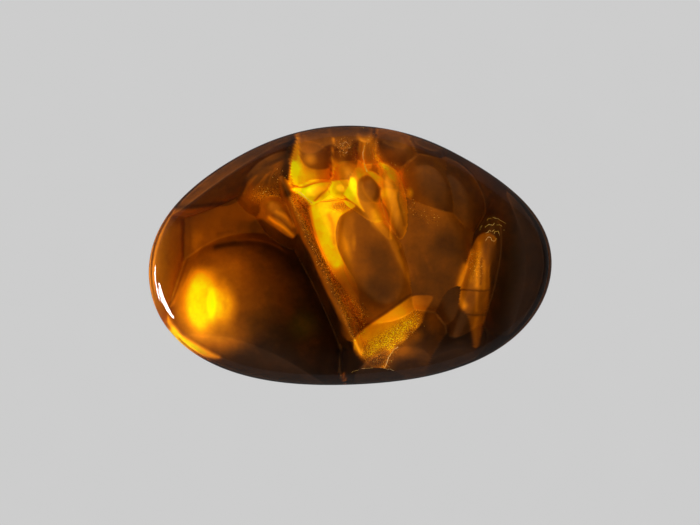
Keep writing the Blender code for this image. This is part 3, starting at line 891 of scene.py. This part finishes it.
# %% Fire on the bright-edged bubble
lay(tone, 0.22, on("bright_edge_bubble", 1))
blade = (
    (8.3, 1.35), (7.75, 1.1), (7.35, 0.3), (6.95, -0.7), (6.6, -1.5), (6.4, -2.4), (6.65, -3.1),
    (7.1, -3.7), (7.4, -4.6), (7.55, -5.6), (7.9, -5.6), (8.1, -4.6), (8.35, -3.6), (8.5, -2.2),
    (8.5, -0.9), (8.7, 0.2), (8.9, 1.0),
)
patch("", blade, fade((7.5, -1.9), 0.56, (7.6, -2.6), 0.4), 0.1)
glow("", 7.7, -4.4, 0.5, 1.1, 0.52, 0.9)
glow("", 8.5, 0.3, 0.6, 1.4, 0.33, 0.7)
stroke("", ((7.85, 0.7), (7.72, -0.6), (7.68, -1.9)), 0.16, 0.8, 0.85)
stroke("", ((7.68, -2.2), (7.7, -3.4)), 0.13, 0.6, 0.8)
stroke("", ((7.98, -0.2), (7.93, -0.7), (7.98, -1.2), (7.92, -1.8)), 0.06, 0.42, 0.9)
stroke("", ((8.15, -0.4), (8.2, -1.4), (8.15, -2.1)), 0.07, 0.7, 0.6)
stroke("", ((7.0, -0.7), (6.72, -1.6), (6.62, -2.4), (6.9, -3.1)), 0.24, 0.84, 0.8)
stroke("", ((7.45, 0.2), (7.35, -0.7), (7.3, -1.6)), 0.16, 0.72, 0.8)
stroke("", ((8.45, 0.9), (8.3, -0.4), (8.35, -1.8), (8.3, -3.2)), 0.14, 0.44, 0.6)
stroke("", ((6.55, -2.1), (7.3, -2.15), (8.0, -2.2), (8.5, -2.15)), 0.05, 0.3, 0.85)
stroke("", ((6.95, -3.6), (7.6, -3.68), (8.4, -3.65)), 0.06, 0.26, 0.85)
stroke("", ((7.7, -3.9), (7.65, -4.6), (7.7, -5.3)), 0.12, 0.56, 0.7)
glow("", 7.6, -0.6, 0.8, 1.6, 0.5, 0.8, layer=glitter)
wash("valley", (5.0, -0.6), 0.33, (6.2, -2.0), 0.25)
# Painted shade: the stone's right end darkens away from the light.
wash("right_end", (8.6, 0.0), 0.26, (10.4, -0.4), 0.1)
glow("right_end upper_right_shade", 8.9, 1.9, 0.8, 0.6, 0.28, 0.9)
glow("upper_right_shade", 8.8, 3.2, 1.5, 1.1, 0.38, 0.9)
glow("upper_right_shade", 7.4, 5.0, 2.6, 1.4, 0.33, 0.9, -35)
print("tone of the whole fire layer", tone.mean().round(2))


# %% [markdown]
# ## The fire layer's finish
# The tone, the glitter, the share of green and how steep the surface is go on the mesh as attributes,
# so the material can read them. A finished surface is never one flat value: grain from a noise is added
# to the tone before a colour ramp turns it into colour. The grain is a node group, because every
# material here uses it.

# %% Attributes of the fire layer
def carry(name, values):
    """Puts one value for each point of the fire layer on the mesh. The wall and the back get zero."""
    every = np.zeros(len(mesh.vertices))
    every[: values.size] = values.ravel()
    every[-2] = values[0].mean()
    mesh.attributes.new(name, "FLOAT", "POINT").data.foreach_set("value", every)


carry("tone", tone)
carry("glitter", glitter)
carry("green", green)
mesh.update()
normals = np.zeros(3 * len(mesh.vertices))
mesh.vertices.foreach_get("normal", normals)
steep = 1 - normals[2::3][: tone.size].reshape(tone.shape)
carry("steep", steep)
print("attributes:", [a.name for a in mesh.attributes if a.domain == "POINT"])


# %% The grain, a node group
def new_group(name, inputs, outputs):
    group = bpy.data.node_groups.new(name, "ShaderNodeTree")
    for socket, kind, value in inputs:
        made = group.interface.new_socket(socket, in_out="INPUT", socket_type=kind)
        if value is not None:
            made.default_value = value
    for socket, kind in outputs:
        group.interface.new_socket(socket, in_out="OUTPUT", socket_type=kind)
    return group, group.nodes.new("NodeGroupInput"), group.nodes.new("NodeGroupOutput")


def math_node(tree, operation, first, second, third=None):
    """A Math node whose inputs are sockets or plain numbers."""
    node = tree.nodes.new("ShaderNodeMath")
    node.operation = operation
    for socket, value in zip(node.inputs, (first, second, third)):
        if value is None:
            continue
        if isinstance(value, (int, float)):
            socket.default_value = value
        else:
            tree.links.new(value, socket)
    return node.outputs[0]


grain, given, result = new_group(
    "grain",
    [
        ("Place", "NodeSocketVector", None),
        ("Size", "NodeSocketFloat", 1000.0),
        ("Amount", "NodeSocketFloat", 0.1),
    ],
    [("Value", "NodeSocketFloat")],
)
cloud = grain.nodes.new("ShaderNodeTexNoise")
cloud.inputs["Detail"].default_value = 5
grain.links.new(given.outputs["Place"], cloud.inputs["Vector"])
grain.links.new(given.outputs["Size"], cloud.inputs["Scale"])
centred = math_node(grain, "SUBTRACT", cloud.outputs["Fac"], 0.5)
grain.links.new(math_node(grain, "MULTIPLY", centred, given.outputs["Amount"]), result.inputs["Value"])
print("group", grain.name, "has", len(grain.nodes), "nodes")


# %% [markdown]
# ## Helpers for materials
# Every material starts as a Principled BSDF. A few helpers keep the node trees readable: each one makes
# a node, joins it up and hands back the socket that the next step needs.

# %% Materials start alike
def new_material(name):
    made = bpy.data.materials.new(name)
    made.use_nodes = True
    tree = made.node_tree
    return made, tree, tree.nodes["Principled BSDF"]


def placed_grain(tree, size, amount):
    """The grain group in a material, on Object coordinates, with its own size and amount."""
    place = tree.nodes.new("ShaderNodeTexCoord")
    node = tree.nodes.new("ShaderNodeGroup")
    node.node_tree = grain
    tree.links.new(place.outputs["Object"], node.inputs["Place"])
    node.inputs["Size"].default_value = size
    node.inputs["Amount"].default_value = amount
    return node.outputs["Value"]


def grainy(tree, size, amount, level):
    """A level with grain around it."""
    return math_node(tree, "ADD", placed_grain(tree, size, amount), level)


print("helpers: new_material, placed_grain, grainy")


# %% Colours in a material
def attribute(tree, name):
    node = tree.nodes.new("ShaderNodeAttribute")
    node.attribute_name = name
    return node.outputs["Fac"]


def ramp(tree, value, stops):
    """A colour ramp through the stops, each a position and a colour."""
    node = tree.nodes.new("ShaderNodeValToRGB")
    tree.links.new(value, node.inputs["Fac"])
    elements = node.color_ramp.elements
    while len(elements) < len(stops):
        elements.new(0.5)
    for element, (position, colour) in zip(elements, stops):
        element.position = position
        element.color = (*colour, 1)
    return node.outputs["Color"]


def mixed_colour(tree, share, first, second):
    """A colour mixed from two colours, or from two sockets that give one."""
    node = tree.nodes.new("ShaderNodeMix")
    node.data_type = "RGBA"
    tree.links.new(share, node.inputs["Factor"])
    ends = [socket for socket in node.inputs if socket.type == "RGBA"]
    for socket, value in zip(ends, (first, second)):
        if isinstance(value, tuple):
            socket.default_value = (*value, 1)
        else:
            tree.links.new(value, socket)
    return [socket for socket in node.outputs if socket.type == "RGBA"][0]


def scaled_colour(tree, colour, factor):
    """A colour made stronger or weaker by a value."""
    node = tree.nodes.new("ShaderNodeVectorMath")
    node.operation = "SCALE"
    tree.links.new(colour, node.inputs[0])
    tree.links.new(factor, node.inputs["Scale"])
    return node.outputs[0]


print("helpers: attribute, ramp, mixed_colour, scaled_colour")

# %% [markdown]
# ## The colours of the fire
# A colour ramp turns the tone into the colours of a thin film, from black over brown and orange to
# yellow and green. Three sizes of grain cloud, mottle and roughen it, and a very fine one sparkles
# where the glitter is. One flat colour for each bubble would look like enamel.

# %% The fire layer's colours
TOP_TONE = 1.25
GREEN_FIRE = (0.6, 0.9, 0.0)
FIRE_COLOURS = (
    (0.0, (0.003, 0.001, 0.0005)),
    (0.17, (0.02, 0.006, 0.001)),
    (0.26, (0.05, 0.0135, 0.001)),
    (0.35, (0.10, 0.026, 0.001)),
    (0.48, (0.20, 0.051, 0.001)),
    (0.66, (0.40, 0.12, 0.002)),
    (0.79, (0.60, 0.19, 0.002)),
    (0.88, (0.76, 0.29, 0.002)),
    (0.95, (0.88, 0.44, 0.002)),
    (1.01, (0.96, 0.64, 0.002)),
    (1.09, (0.97, 0.82, 0.001)),
    (1.2, (0.88, 0.97, 0.001)),
)
fire, tree, shader = new_material("fire layer")
cloudy = placed_grain(tree, size=450, amount=0.16)
mottled = placed_grain(tree, size=1400, amount=0.12)
fine = placed_grain(tree, size=4200, amount=0.07)
sparks = placed_grain(tree, size=16000, amount=1.6)
sparkling = math_node(tree, "MULTIPLY", sparks, attribute(tree, "glitter"))
value = math_node(tree, "ADD", attribute(tree, "tone"), cloudy)
value = math_node(tree, "ADD", value, mottled)
value = math_node(tree, "ADD", value, fine)
value = math_node(tree, "ADD", value, sparkling)
value = math_node(tree, "DIVIDE", value, TOP_TONE)
stops = [(position / TOP_TONE, colour) for position, colour in FIRE_COLOURS]
fiery = ramp(tree, value, stops)
fiery = mixed_colour(tree, attribute(tree, "green"), fiery, GREEN_FIRE)
print("the fire has", len(stops), "colour stops")

# %% [markdown]
# ## Painted light on steep flanks
# A real film shines in one direction, and on this stone the steep flanks are the ones that burn. A
# plain surface does the opposite: the steeper it stands, the less light it gets from above. So the colour
# is painted brighter with the steepness to cancel that shade, and the brightest tones also get a painted
# glow on flanks, from emission though the film is no lamp.

# %% Painted light on steep flanks, and a painted glow
STEEP_GAIN = 1.6
STRONGEST = 0.97
GLOW_FROM_TONE = 0.86
GLOW_GAIN = 3.5
PAINTED_GLOW = 1.1
steepness = attribute(tree, "steep")
# Painted light: the colour grows brighter with the steepness, to cancel the shade on flanks.
stronger = scaled_colour(tree, fiery, math_node(tree, "MULTIPLY_ADD", steepness, STEEP_GAIN, 1))
limited = tree.nodes.new("ShaderNodeVectorMath")
limited.operation = "MINIMUM"
tree.links.new(stronger, limited.inputs[0])
limited.inputs[1].default_value = (STRONGEST,) * 3
tree.links.new(limited.outputs[0], shader.inputs["Base Color"])
# A painted glow: the brightest tones on steep flanks shine by emission.
painted_flank_light = math_node(tree, "SUBTRACT", attribute(tree, "tone"), GLOW_FROM_TONE)
painted_flank_light = math_node(tree, "MULTIPLY", painted_flank_light, GLOW_GAIN)
painted_flank_light = math_node(tree, "MINIMUM", math_node(tree, "MAXIMUM", painted_flank_light, 0), 1)
painted_flank_light = math_node(tree, "MULTIPLY", painted_flank_light, steepness)
tree.links.new(scaled_colour(tree, fiery, painted_flank_light), shader.inputs["Emission Color"])
shader.inputs["Emission Strength"].default_value = PAINTED_GLOW
shader.inputs["Metallic"].default_value = 0.5
shader.inputs["Specular IOR Level"].default_value = 0.1
tree.links.new(grainy(tree, 2500, 0.2, 0.42), shader.inputs["Roughness"])
base_stone.data.materials.append(fire)
print("steepest flank", steep.max().round(2), "on a scale from 0, level, to 1, upright")

# %% [markdown]
# ## Clear and brown chalcedony
# The clear cap is glass to Blender: plain transmission, an index of refraction of 1.54, and a body that
# swallows some blue. Its polish gets a barely visible unevenness. The brown stone under and behind it is
# banded, as chalcedony grows, and its ground back is duller than the polished side.

# %% Clear chalcedony
CLEAR_TINT = (0.955, 0.84, 0.30, 1)
CLEAR_DENSITY = 400
clear, tree, shader = new_material("clear chalcedony")
shader.inputs["Base Color"].default_value = (1, 1, 1, 1)
shader.inputs["IOR"].default_value = REFRACTION
shader.inputs["Transmission Weight"].default_value = 1
tree.links.new(grainy(tree, 900, 0.02, 0.02), shader.inputs["Roughness"])
inside = tree.nodes.new("ShaderNodeVolumeAbsorption")
inside.inputs["Color"].default_value = CLEAR_TINT
inside.inputs["Density"].default_value = CLEAR_DENSITY
tree.links.new(inside.outputs["Volume"], tree.nodes["Material Output"].inputs["Volume"])
clear_dome.data.materials.append(clear)
print("clear chalcedony bends light by", REFRACTION)

# %% Brown chalcedony
BAND_SCALE = 900
BAND_CONTRAST = 0.16
BROWN_LEVEL = 0.35
BACK_THICKNESS = 0.05
BACK_ROUGHNESS = 0.35
brown, tree, shader = new_material("brown chalcedony")
place = tree.nodes.new("ShaderNodeTexCoord")
bands = tree.nodes.new("ShaderNodeTexWave")
bands.bands_direction = "Z"
bands.inputs["Scale"].default_value = BAND_SCALE
bands.inputs["Distortion"].default_value = 6
bands.inputs["Detail"].default_value = 3
tree.links.new(place.outputs["Object"], bands.inputs["Vector"])
banded = math_node(tree, "MULTIPLY", bands.outputs["Fac"], BAND_CONTRAST)
mixed = math_node(tree, "ADD", banded, grainy(tree, 600, 0.5, BROWN_LEVEL))
BROWN_COLOURS = (
    (0.0, (0.018, 0.006, 0.003)),
    (0.4, (0.06, 0.02, 0.007)),
    (0.75, (0.14, 0.05, 0.015)),
    (1.0, (0.24, 0.10, 0.035)),
)
tree.links.new(ramp(tree, mixed, BROWN_COLOURS), shader.inputs["Base Color"])
height = tree.nodes.new("ShaderNodeSeparateXYZ")
tree.links.new(place.outputs["Object"], height.inputs[0])
ground = math_node(tree, "LESS_THAN", height.outputs["Z"], BACK_THICKNESS * MM)
ground = math_node(tree, "MULTIPLY", ground, BACK_ROUGHNESS)
rough = math_node(tree, "ADD", grainy(tree, 3000, 0.15, 0.16), ground)
tree.links.new(rough, shader.inputs["Roughness"])
base_stone.data.materials.append(brown)
print("brown chalcedony has", len(tree.nodes), "nodes")

# %% Which faces are fire and which are brown
slots = np.zeros(len(mesh.polygons), int)
first_wall_face = len(fire_rings) * SPOKES
slots[first_wall_face:] = 1
first_cap = (len(fire_rings) + WALL_RINGS) * SPOKES
slots[first_cap : first_cap + SPOKES] = 0
mesh.polygons.foreach_set("material_index", slots)
print("materials on the stone:", [m.name for m in mesh.materials])

# %% [markdown]
# ## Threads, wisps and flecks
# Cracks in fire agate heal with clear quartz and stay as pale threads, and tiny flakes of iron oxide
# glitter where a film broke up. Both follow a path or a surface many times over, so Geometry Nodes make
# them: one tree draws a thread along each line, the other strews flecks where the glitter is strong.

# %% Helpers for Geometry Nodes
def new_geometry(name, inputs):
    group = bpy.data.node_groups.new(name, "GeometryNodeTree")
    group.interface.new_socket("Geometry", in_out="INPUT", socket_type="NodeSocketGeometry")
    for socket, kind in inputs:
        group.interface.new_socket(socket, in_out="INPUT", socket_type=kind)
    group.interface.new_socket("Geometry", in_out="OUTPUT", socket_type="NodeSocketGeometry")
    return group, group.nodes.new("NodeGroupInput").outputs, group.nodes.new("NodeGroupOutput").inputs


def node_after(tree, kind, first=None, operation=None, **inputs):
    """A node with its first input joined to a socket. The other inputs are sockets or plain values."""
    node = tree.nodes.new(kind)
    if operation:
        node.operation = operation
    if first is not None:
        tree.links.new(first, node.inputs[0])
    for name, value in inputs.items():
        socket = node.inputs[name.replace("_", " ")]
        if isinstance(value, bpy.types.NodeSocket):
            tree.links.new(value, socket)
        else:
            socket.default_value = value
    return node


def settle(piece, group, values):
    """Runs a group on a piece with these inputs, and keeps what it makes as a plain mesh."""
    modifier = piece.modifiers.new(group.name, "NODES")
    modifier.node_group = group
    for item in group.interface.items_tree:
        if item.item_type == "SOCKET" and item.in_out == "INPUT" and item.name in values:
            modifier[item.identifier] = values[item.name]
    made = bpy.data.meshes.new_from_object(piece.evaluated_get(bpy.context.evaluated_depsgraph_get()))
    piece.modifiers.clear()
    piece.data = made
    print(piece.name, "has", len(made.polygons), "faces")


def new_piece(name, points, edges):
    start = bpy.data.meshes.new(name)
    start.from_pydata([Vector(point) * MM for point in points], edges, [])
    made = bpy.data.objects.new(name, start)
    bpy.context.scene.collection.objects.link(made)
    return made


print("helpers: new_geometry, node_after, settle, new_piece")

# %% [markdown]
# ## Threads of healed quartz
# A thread could be modelled by hand, but one rule makes them all: cut the line into short steps, move
# each step aside a little by a noise, and draw a thin round profile along it. The ends get caps.

# %% A thread along each line
THREAD_STEP = 0.07
thread_group, given, result = new_geometry(
    "thread along lines",
    [("Radius", "NodeSocketFloat"), ("Unevenness", "NodeSocketFloat"), ("Material", "NodeSocketMaterial")],
)
lines = node_after(thread_group, "GeometryNodeMeshToCurve", given["Geometry"])
lines = node_after(thread_group, "GeometryNodeResampleCurve", lines.outputs[0])
lines.mode = "LENGTH"
lines.inputs["Length"].default_value = THREAD_STEP * MM
wander = node_after(thread_group, "ShaderNodeTexNoise", Scale=4000.0, Detail=2.0)
centred = node_after(thread_group, "ShaderNodeVectorMath", wander.outputs["Color"], "SUBTRACT")
centred.inputs[1].default_value = (0.5, 0.5, 0.5)
aside = node_after(
    thread_group, "ShaderNodeVectorMath", centred.outputs[0], "SCALE", Scale=given["Unevenness"]
)
moved = node_after(thread_group, "GeometryNodeSetPosition", lines.outputs[0], Offset=aside.outputs[0])
thick = node_after(thread_group, "GeometryNodeCurvePrimitiveCircle", Resolution=6, Radius=given["Radius"])
tube = node_after(
    thread_group, "GeometryNodeCurveToMesh", moved.outputs[0], Profile_Curve=thick.outputs[0], Fill_Caps=True
)
plain = node_after(thread_group, "GeometryNodeRealizeInstances", tube.outputs[0])
painted = node_after(thread_group, "GeometryNodeSetMaterial", plain.outputs[0], Material=given["Material"])
thread_group.links.new(painted.outputs[0], result["Geometry"])


def threads(name, lines, radius, unevenness, material, lift=0.02):
    """Threads that lie on the fire layer along lines given as seen from above."""
    points, edges = [], []
    for line in lines:
        path = through(line)
        x, y, z = under_the_dome(path[:, 0], path[:, 1])
        first = len(points)
        points += list(zip(x, y, z + lift))
        edges += [(n, n + 1) for n in range(first, len(points) - 1)]
    piece = new_piece(name, points, edges)
    settle(piece, thread_group, {"Radius": radius * MM, "Unevenness": unevenness * MM, "Material": material})
    return piece


print("group", thread_group.name, "has", len(thread_group.nodes), "nodes")

# %% The threads and their material
quartz, tree, shader = new_material("healed quartz")
QUARTZ_COLOURS = ((0.0, (0.35, 0.14, 0.01)), (0.5, (0.85, 0.5, 0.08)), (1.0, (0.95, 0.8, 0.45)))
milky = ramp(tree, grainy(tree, 2500, 1.4, 0.55), QUARTZ_COLOURS)
tree.links.new(milky, shader.inputs["Base Color"])
tree.links.new(grainy(tree, 5000, 0.2, 0.35), shader.inputs["Roughness"])
SEAM_LINES = (
    ((2.1, -6.95), (2.3, -6.4), (2.55, -5.9), (2.9, -5.6)),
    ((0.84, 6.7), (0.78, 6.0), (0.86, 5.5), (1.0, 5.05)),
    ((-3.5, 4.0), (-3.0, 3.72), (-2.3, 3.14)),
)
healed_seams = threads("healed_seams", SEAM_LINES, radius=0.022, unevenness=0.15, material=quartz)
WISP_LINES = (
    ((0.1, -7.2), (0.8, -6.97), (1.6, -6.92), (2.15, -6.97), (2.7, -7.15)),
    ((8.3, 1.3), (8.5, 1.5), (8.7, 1.42), (8.85, 1.55)),
    ((8.75, 1.3), (9.0, 1.42), (9.15, 1.2)),
    ((8.25, 1.65), (8.45, 1.85), (8.7, 1.8), (8.8, 1.95)),
    ((8.95, 1.85), (9.2, 1.75), (9.4, 1.5)),
    ((8.4, 2.1), (8.65, 2.28), (8.95, 2.2)),
    ((9.05, 2.25), (9.3, 2.05), (9.5, 1.9)),
    ((8.2, 0.95), (8.45, 1.08), (8.7, 0.9), (8.95, 0.95)),
    ((7.9, 1.5), (8.0, 1.75), (8.2, 1.85)),
    ((-0.75, 6.95), (-0.55, 6.8), (-0.3, 6.95), (-0.1, 6.8)),
    ((-0.65, 6.6), (-0.4, 6.7), (-0.2, 6.5), (0.0, 6.6)),
    ((-0.55, 6.3), (-0.35, 6.2), (-0.2, 6.35)),
)
wisps = threads("wisps", WISP_LINES, radius=0.009, unevenness=0.3, material=quartz)
print("threads along", len(SEAM_LINES) + len(WISP_LINES), "lines")

# %% [markdown]
# ## Flecks of iron oxide
# Where a film broke up, many tiny flakes sparkle. They could be a particle system, but a tree can read
# the glitter from the mesh and strew more flecks where it is stronger. A fleck is only a few hundredths
# of a millimetre wide, so a ball of twenty faces is enough.

# %% Flecks strewn where the glitter is strong
fleck_group, given, result = new_geometry(
    "strewn flecks",
    [
        ("Density", "NodeSocketFloat"), ("Smallest", "NodeSocketFloat"), ("Largest", "NodeSocketFloat"),
        ("Seed", "NodeSocketInt"), ("Material", "NodeSocketMaterial"),
    ],
)
where = fleck_group.nodes.new("GeometryNodeInputNamedAttribute")
where.data_type = "FLOAT"
where.inputs["Name"].default_value = "glitter"
crowd = math_node(fleck_group, "MULTIPLY", where.outputs["Attribute"], given["Density"])
spread = node_after(
    fleck_group, "GeometryNodeDistributePointsOnFaces", given["Geometry"], Density=crowd, Seed=given["Seed"]
)
size = fleck_group.nodes.new("FunctionNodeRandomValue")
size.data_type = "FLOAT"
floats = [socket for socket in size.inputs if socket.type == "VALUE"]
fleck_group.links.new(given["Smallest"], floats[0])
fleck_group.links.new(given["Largest"], floats[1])
fleck = node_after(fleck_group, "GeometryNodeMeshIcoSphere", Radius=1.0, Subdivisions=1)
size_out = [socket for socket in size.outputs if socket.type == "VALUE"][0]
strewn = node_after(
    fleck_group, "GeometryNodeInstanceOnPoints", spread.outputs["Points"],
    Instance=fleck.outputs["Mesh"], Scale=size_out, Rotation=spread.outputs["Rotation"],
)
plain = node_after(fleck_group, "GeometryNodeRealizeInstances", strewn.outputs[0])
painted = node_after(fleck_group, "GeometryNodeSetMaterial", plain.outputs[0], Material=given["Material"])
fleck_group.links.new(painted.outputs[0], result["Geometry"])
print("group", fleck_group.name, "has", len(fleck_group.nodes), "nodes")

# %% The flecks and their material
oxide, tree, shader = new_material("iron oxide flecks")
FLECK_COLOURS = (
    (0.0, (0.10, 0.03, 0.003)),
    (0.45, (0.5, 0.2, 0.01)),
    (0.7, (0.95, 0.62, 0.05)),
    (1.0, (0.95, 0.9, 0.3)),
)
sparkly = ramp(tree, grainy(tree, 9000, 2.2, 0.5), FLECK_COLOURS)
tree.links.new(sparkly, shader.inputs["Base Color"])
tree.links.new(grainy(tree, 7000, 0.3, 0.3), shader.inputs["Roughness"])
shader.inputs["Metallic"].default_value = 0.6
FLECKS_PER_MM2 = 42
SMALLEST_FLECK = 0.012
LARGEST_FLECK = 0.03
FLECK_FACES = 20
flecks = bpy.data.objects.new("oxide_flecks", mesh.copy())
bpy.context.scene.collection.objects.link(flecks)
fleck_sizes = {"Smallest": SMALLEST_FLECK * MM, "Largest": LARGEST_FLECK * MM}
settle(flecks, fleck_group, {"Density": FLECKS_PER_MM2 / MM**2, "Seed": 7, "Material": oxide} | fleck_sizes)
print("flecks strewn:", len(flecks.data.polygons) // FLECK_FACES)

# %% [markdown]
# ## Paper, room and light
# The stone lies on pale paper that is lit from everywhere, so there is no shadow, and the paper simply
# shines. It shows only weakly in the polish. The room that the dome mirrors is dark, and a little paler
# near the horizon. Light that has gone through the dome finds a bright room instead, brighter on the
# left, and that lights the fire evenly with no glare. Softboxes over the stone would all be mirrored.

# %% Paper
PAPER = (48, 36)
PAPER_GAP = 0.02
PALE = 0.61
PAPER_IN_THE_POLISH = 0.15
half_x, half_y = PAPER[0] / 2 * MM, PAPER[1] / 2 * MM
floor_mesh = bpy.data.meshes.new("floor")
under = -PAPER_GAP * MM
turns = ((-1, -1), (1, -1), (1, 1), (-1, 1))
corners = [(half_x * along, half_y * across, under) for along, across in turns]
floor_mesh.from_pydata(corners, [], [(0, 1, 2, 3)])
floor = bpy.data.objects.new("floor", floor_mesh)
bpy.context.scene.collection.objects.link(floor)
paper, tree, shader = new_material("pale paper")
shader.inputs["Base Color"].default_value = (0, 0, 0, 1)
shader.inputs["Specular IOR Level"].default_value = 0
shader.inputs["Roughness"].default_value = 1
pulp = grainy(tree, 300, 0.01, PALE)
mirrored = tree.nodes.new("ShaderNodeLightPath").outputs["Is Glossy Ray"]
shown = math_node(tree, "MULTIPLY_ADD", mirrored, PAPER_IN_THE_POLISH - 1, 1)
tree.links.new(math_node(tree, "MULTIPLY", pulp, shown), shader.inputs["Emission Color"])
shader.inputs["Emission Strength"].default_value = 1
floor_mesh.materials.append(paper)
print("paper", PAPER, "mm")

# %% Room
ELSEWHERE = 0.55
THROUGH_THE_DOME = 2.15
LESS_FROM_THE_RIGHT = -0.5
world = bpy.data.worlds.new("dim room")
bpy.context.scene.world = world
world.use_nodes = True
tree = world.node_tree
direction = tree.nodes.new("ShaderNodeTexCoord")
parts = tree.nodes.new("ShaderNodeSeparateXYZ")
tree.links.new(direction.outputs["Generated"], parts.inputs[0])
path = tree.nodes.new("ShaderNodeLightPath")
leftness = math_node(tree, "MULTIPLY_ADD", parts.outputs["X"], LESS_FROM_THE_RIGHT, THROUGH_THE_DOME)
bright = tree.nodes.new("ShaderNodeCombineXYZ")
for channel in bright.inputs:
    tree.links.new(leftness, channel)
bright = bright.outputs[0]
mirrored = ramp(tree, parts.outputs["Z"], ((0.0, (0.03, 0.027, 0.025)), (0.3, (0.003, 0.003, 0.003))))
light_in = mixed_colour(tree, path.outputs["Is Glossy Ray"], (ELSEWHERE,) * 3, mirrored)
light_in = mixed_colour(tree, path.outputs["Is Transmission Ray"], light_in, bright)
light_in = mixed_colour(tree, path.outputs["Is Camera Ray"], light_in, (PALE,) * 3)
tree.links.new(light_in, tree.nodes["Background"].inputs["Color"])
print("the room is", ELSEWHERE, "bright, and", THROUGH_THE_DOME, "through the dome")


# %% [markdown]
# ## The streak on the left rim
# The polish mirrors a light beside the stone as a white streak along the left rim, with a fine second
# one beside it. Two upright ovals of light do that. They are hidden from the camera and from rays that
# went through the dome, so the fire stays evenly lit.

# %% Two cards of light for the streak on the left rim
def light_card(name, place, width, height, radiance):
    """An upright oval of light that faces the stone. Place and size are in millimetres."""
    light = bpy.data.lights.new(name, "AREA")
    light.shape = "ELLIPSE"
    light.size, light.size_y = width * MM, height * MM
    light.energy = radiance * width * height * MM**2 * pi
    made = bpy.data.objects.new(name, light)
    made.location = Vector(place) * MM
    made.rotation_euler = Vector((-1, 0, 0)).to_track_quat("Z", "Y").to_euler()
    made.visible_camera = False
    made.visible_transmission = False
    bpy.context.scene.collection.objects.link(made)
    return made


streak_card = light_card("streak_card", place=(-24, -7.6, 1.9), width=8.6, height=1.5, radiance=28)
thin_card = light_card("thin_streak_card", place=(-24, -3.6, 0.2), width=7.4, height=0.45, radiance=26)
print("lights:", streak_card.name, "and", thin_card.name)

# %% [markdown]
# ## The camera
# The stone is seen from straight above with a long lens, which keeps its outline true. The distance
# follows from how wide the view is at the height of the girdle.

# %% Camera
LENS = 135
SENSOR = 36
VIEW_WIDTH = 43.4
ASIDE = (-0.03, -0.465)
camera_data = bpy.data.cameras.new("camera")
camera_data.lens = LENS
camera_data.sensor_width = SENSOR
camera_data.clip_start = 0.01
camera = bpy.data.objects.new("camera", camera_data)
distance = GIRDLE_HEIGHT + VIEW_WIDTH * LENS / SENSOR
camera.location = Vector((*ASIDE, distance)) * MM
bpy.context.scene.collection.objects.link(camera)
bpy.context.scene.camera = camera
bpy.context.scene.view_settings.view_transform = "Standard"
print("the camera is", round(distance), "mm up")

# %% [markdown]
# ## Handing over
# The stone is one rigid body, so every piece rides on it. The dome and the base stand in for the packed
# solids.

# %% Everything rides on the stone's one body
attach(clear_dome, "root")
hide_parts("clear_cap")
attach(base_stone, "root")
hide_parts("fire_layer_base")
for extra in (healed_seams, wisps, flecks):
    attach(extra, "root")
print("riding on the stone:", clear_dome.name, base_stone.name, healed_seams.name, wisps.name, flecks.name)
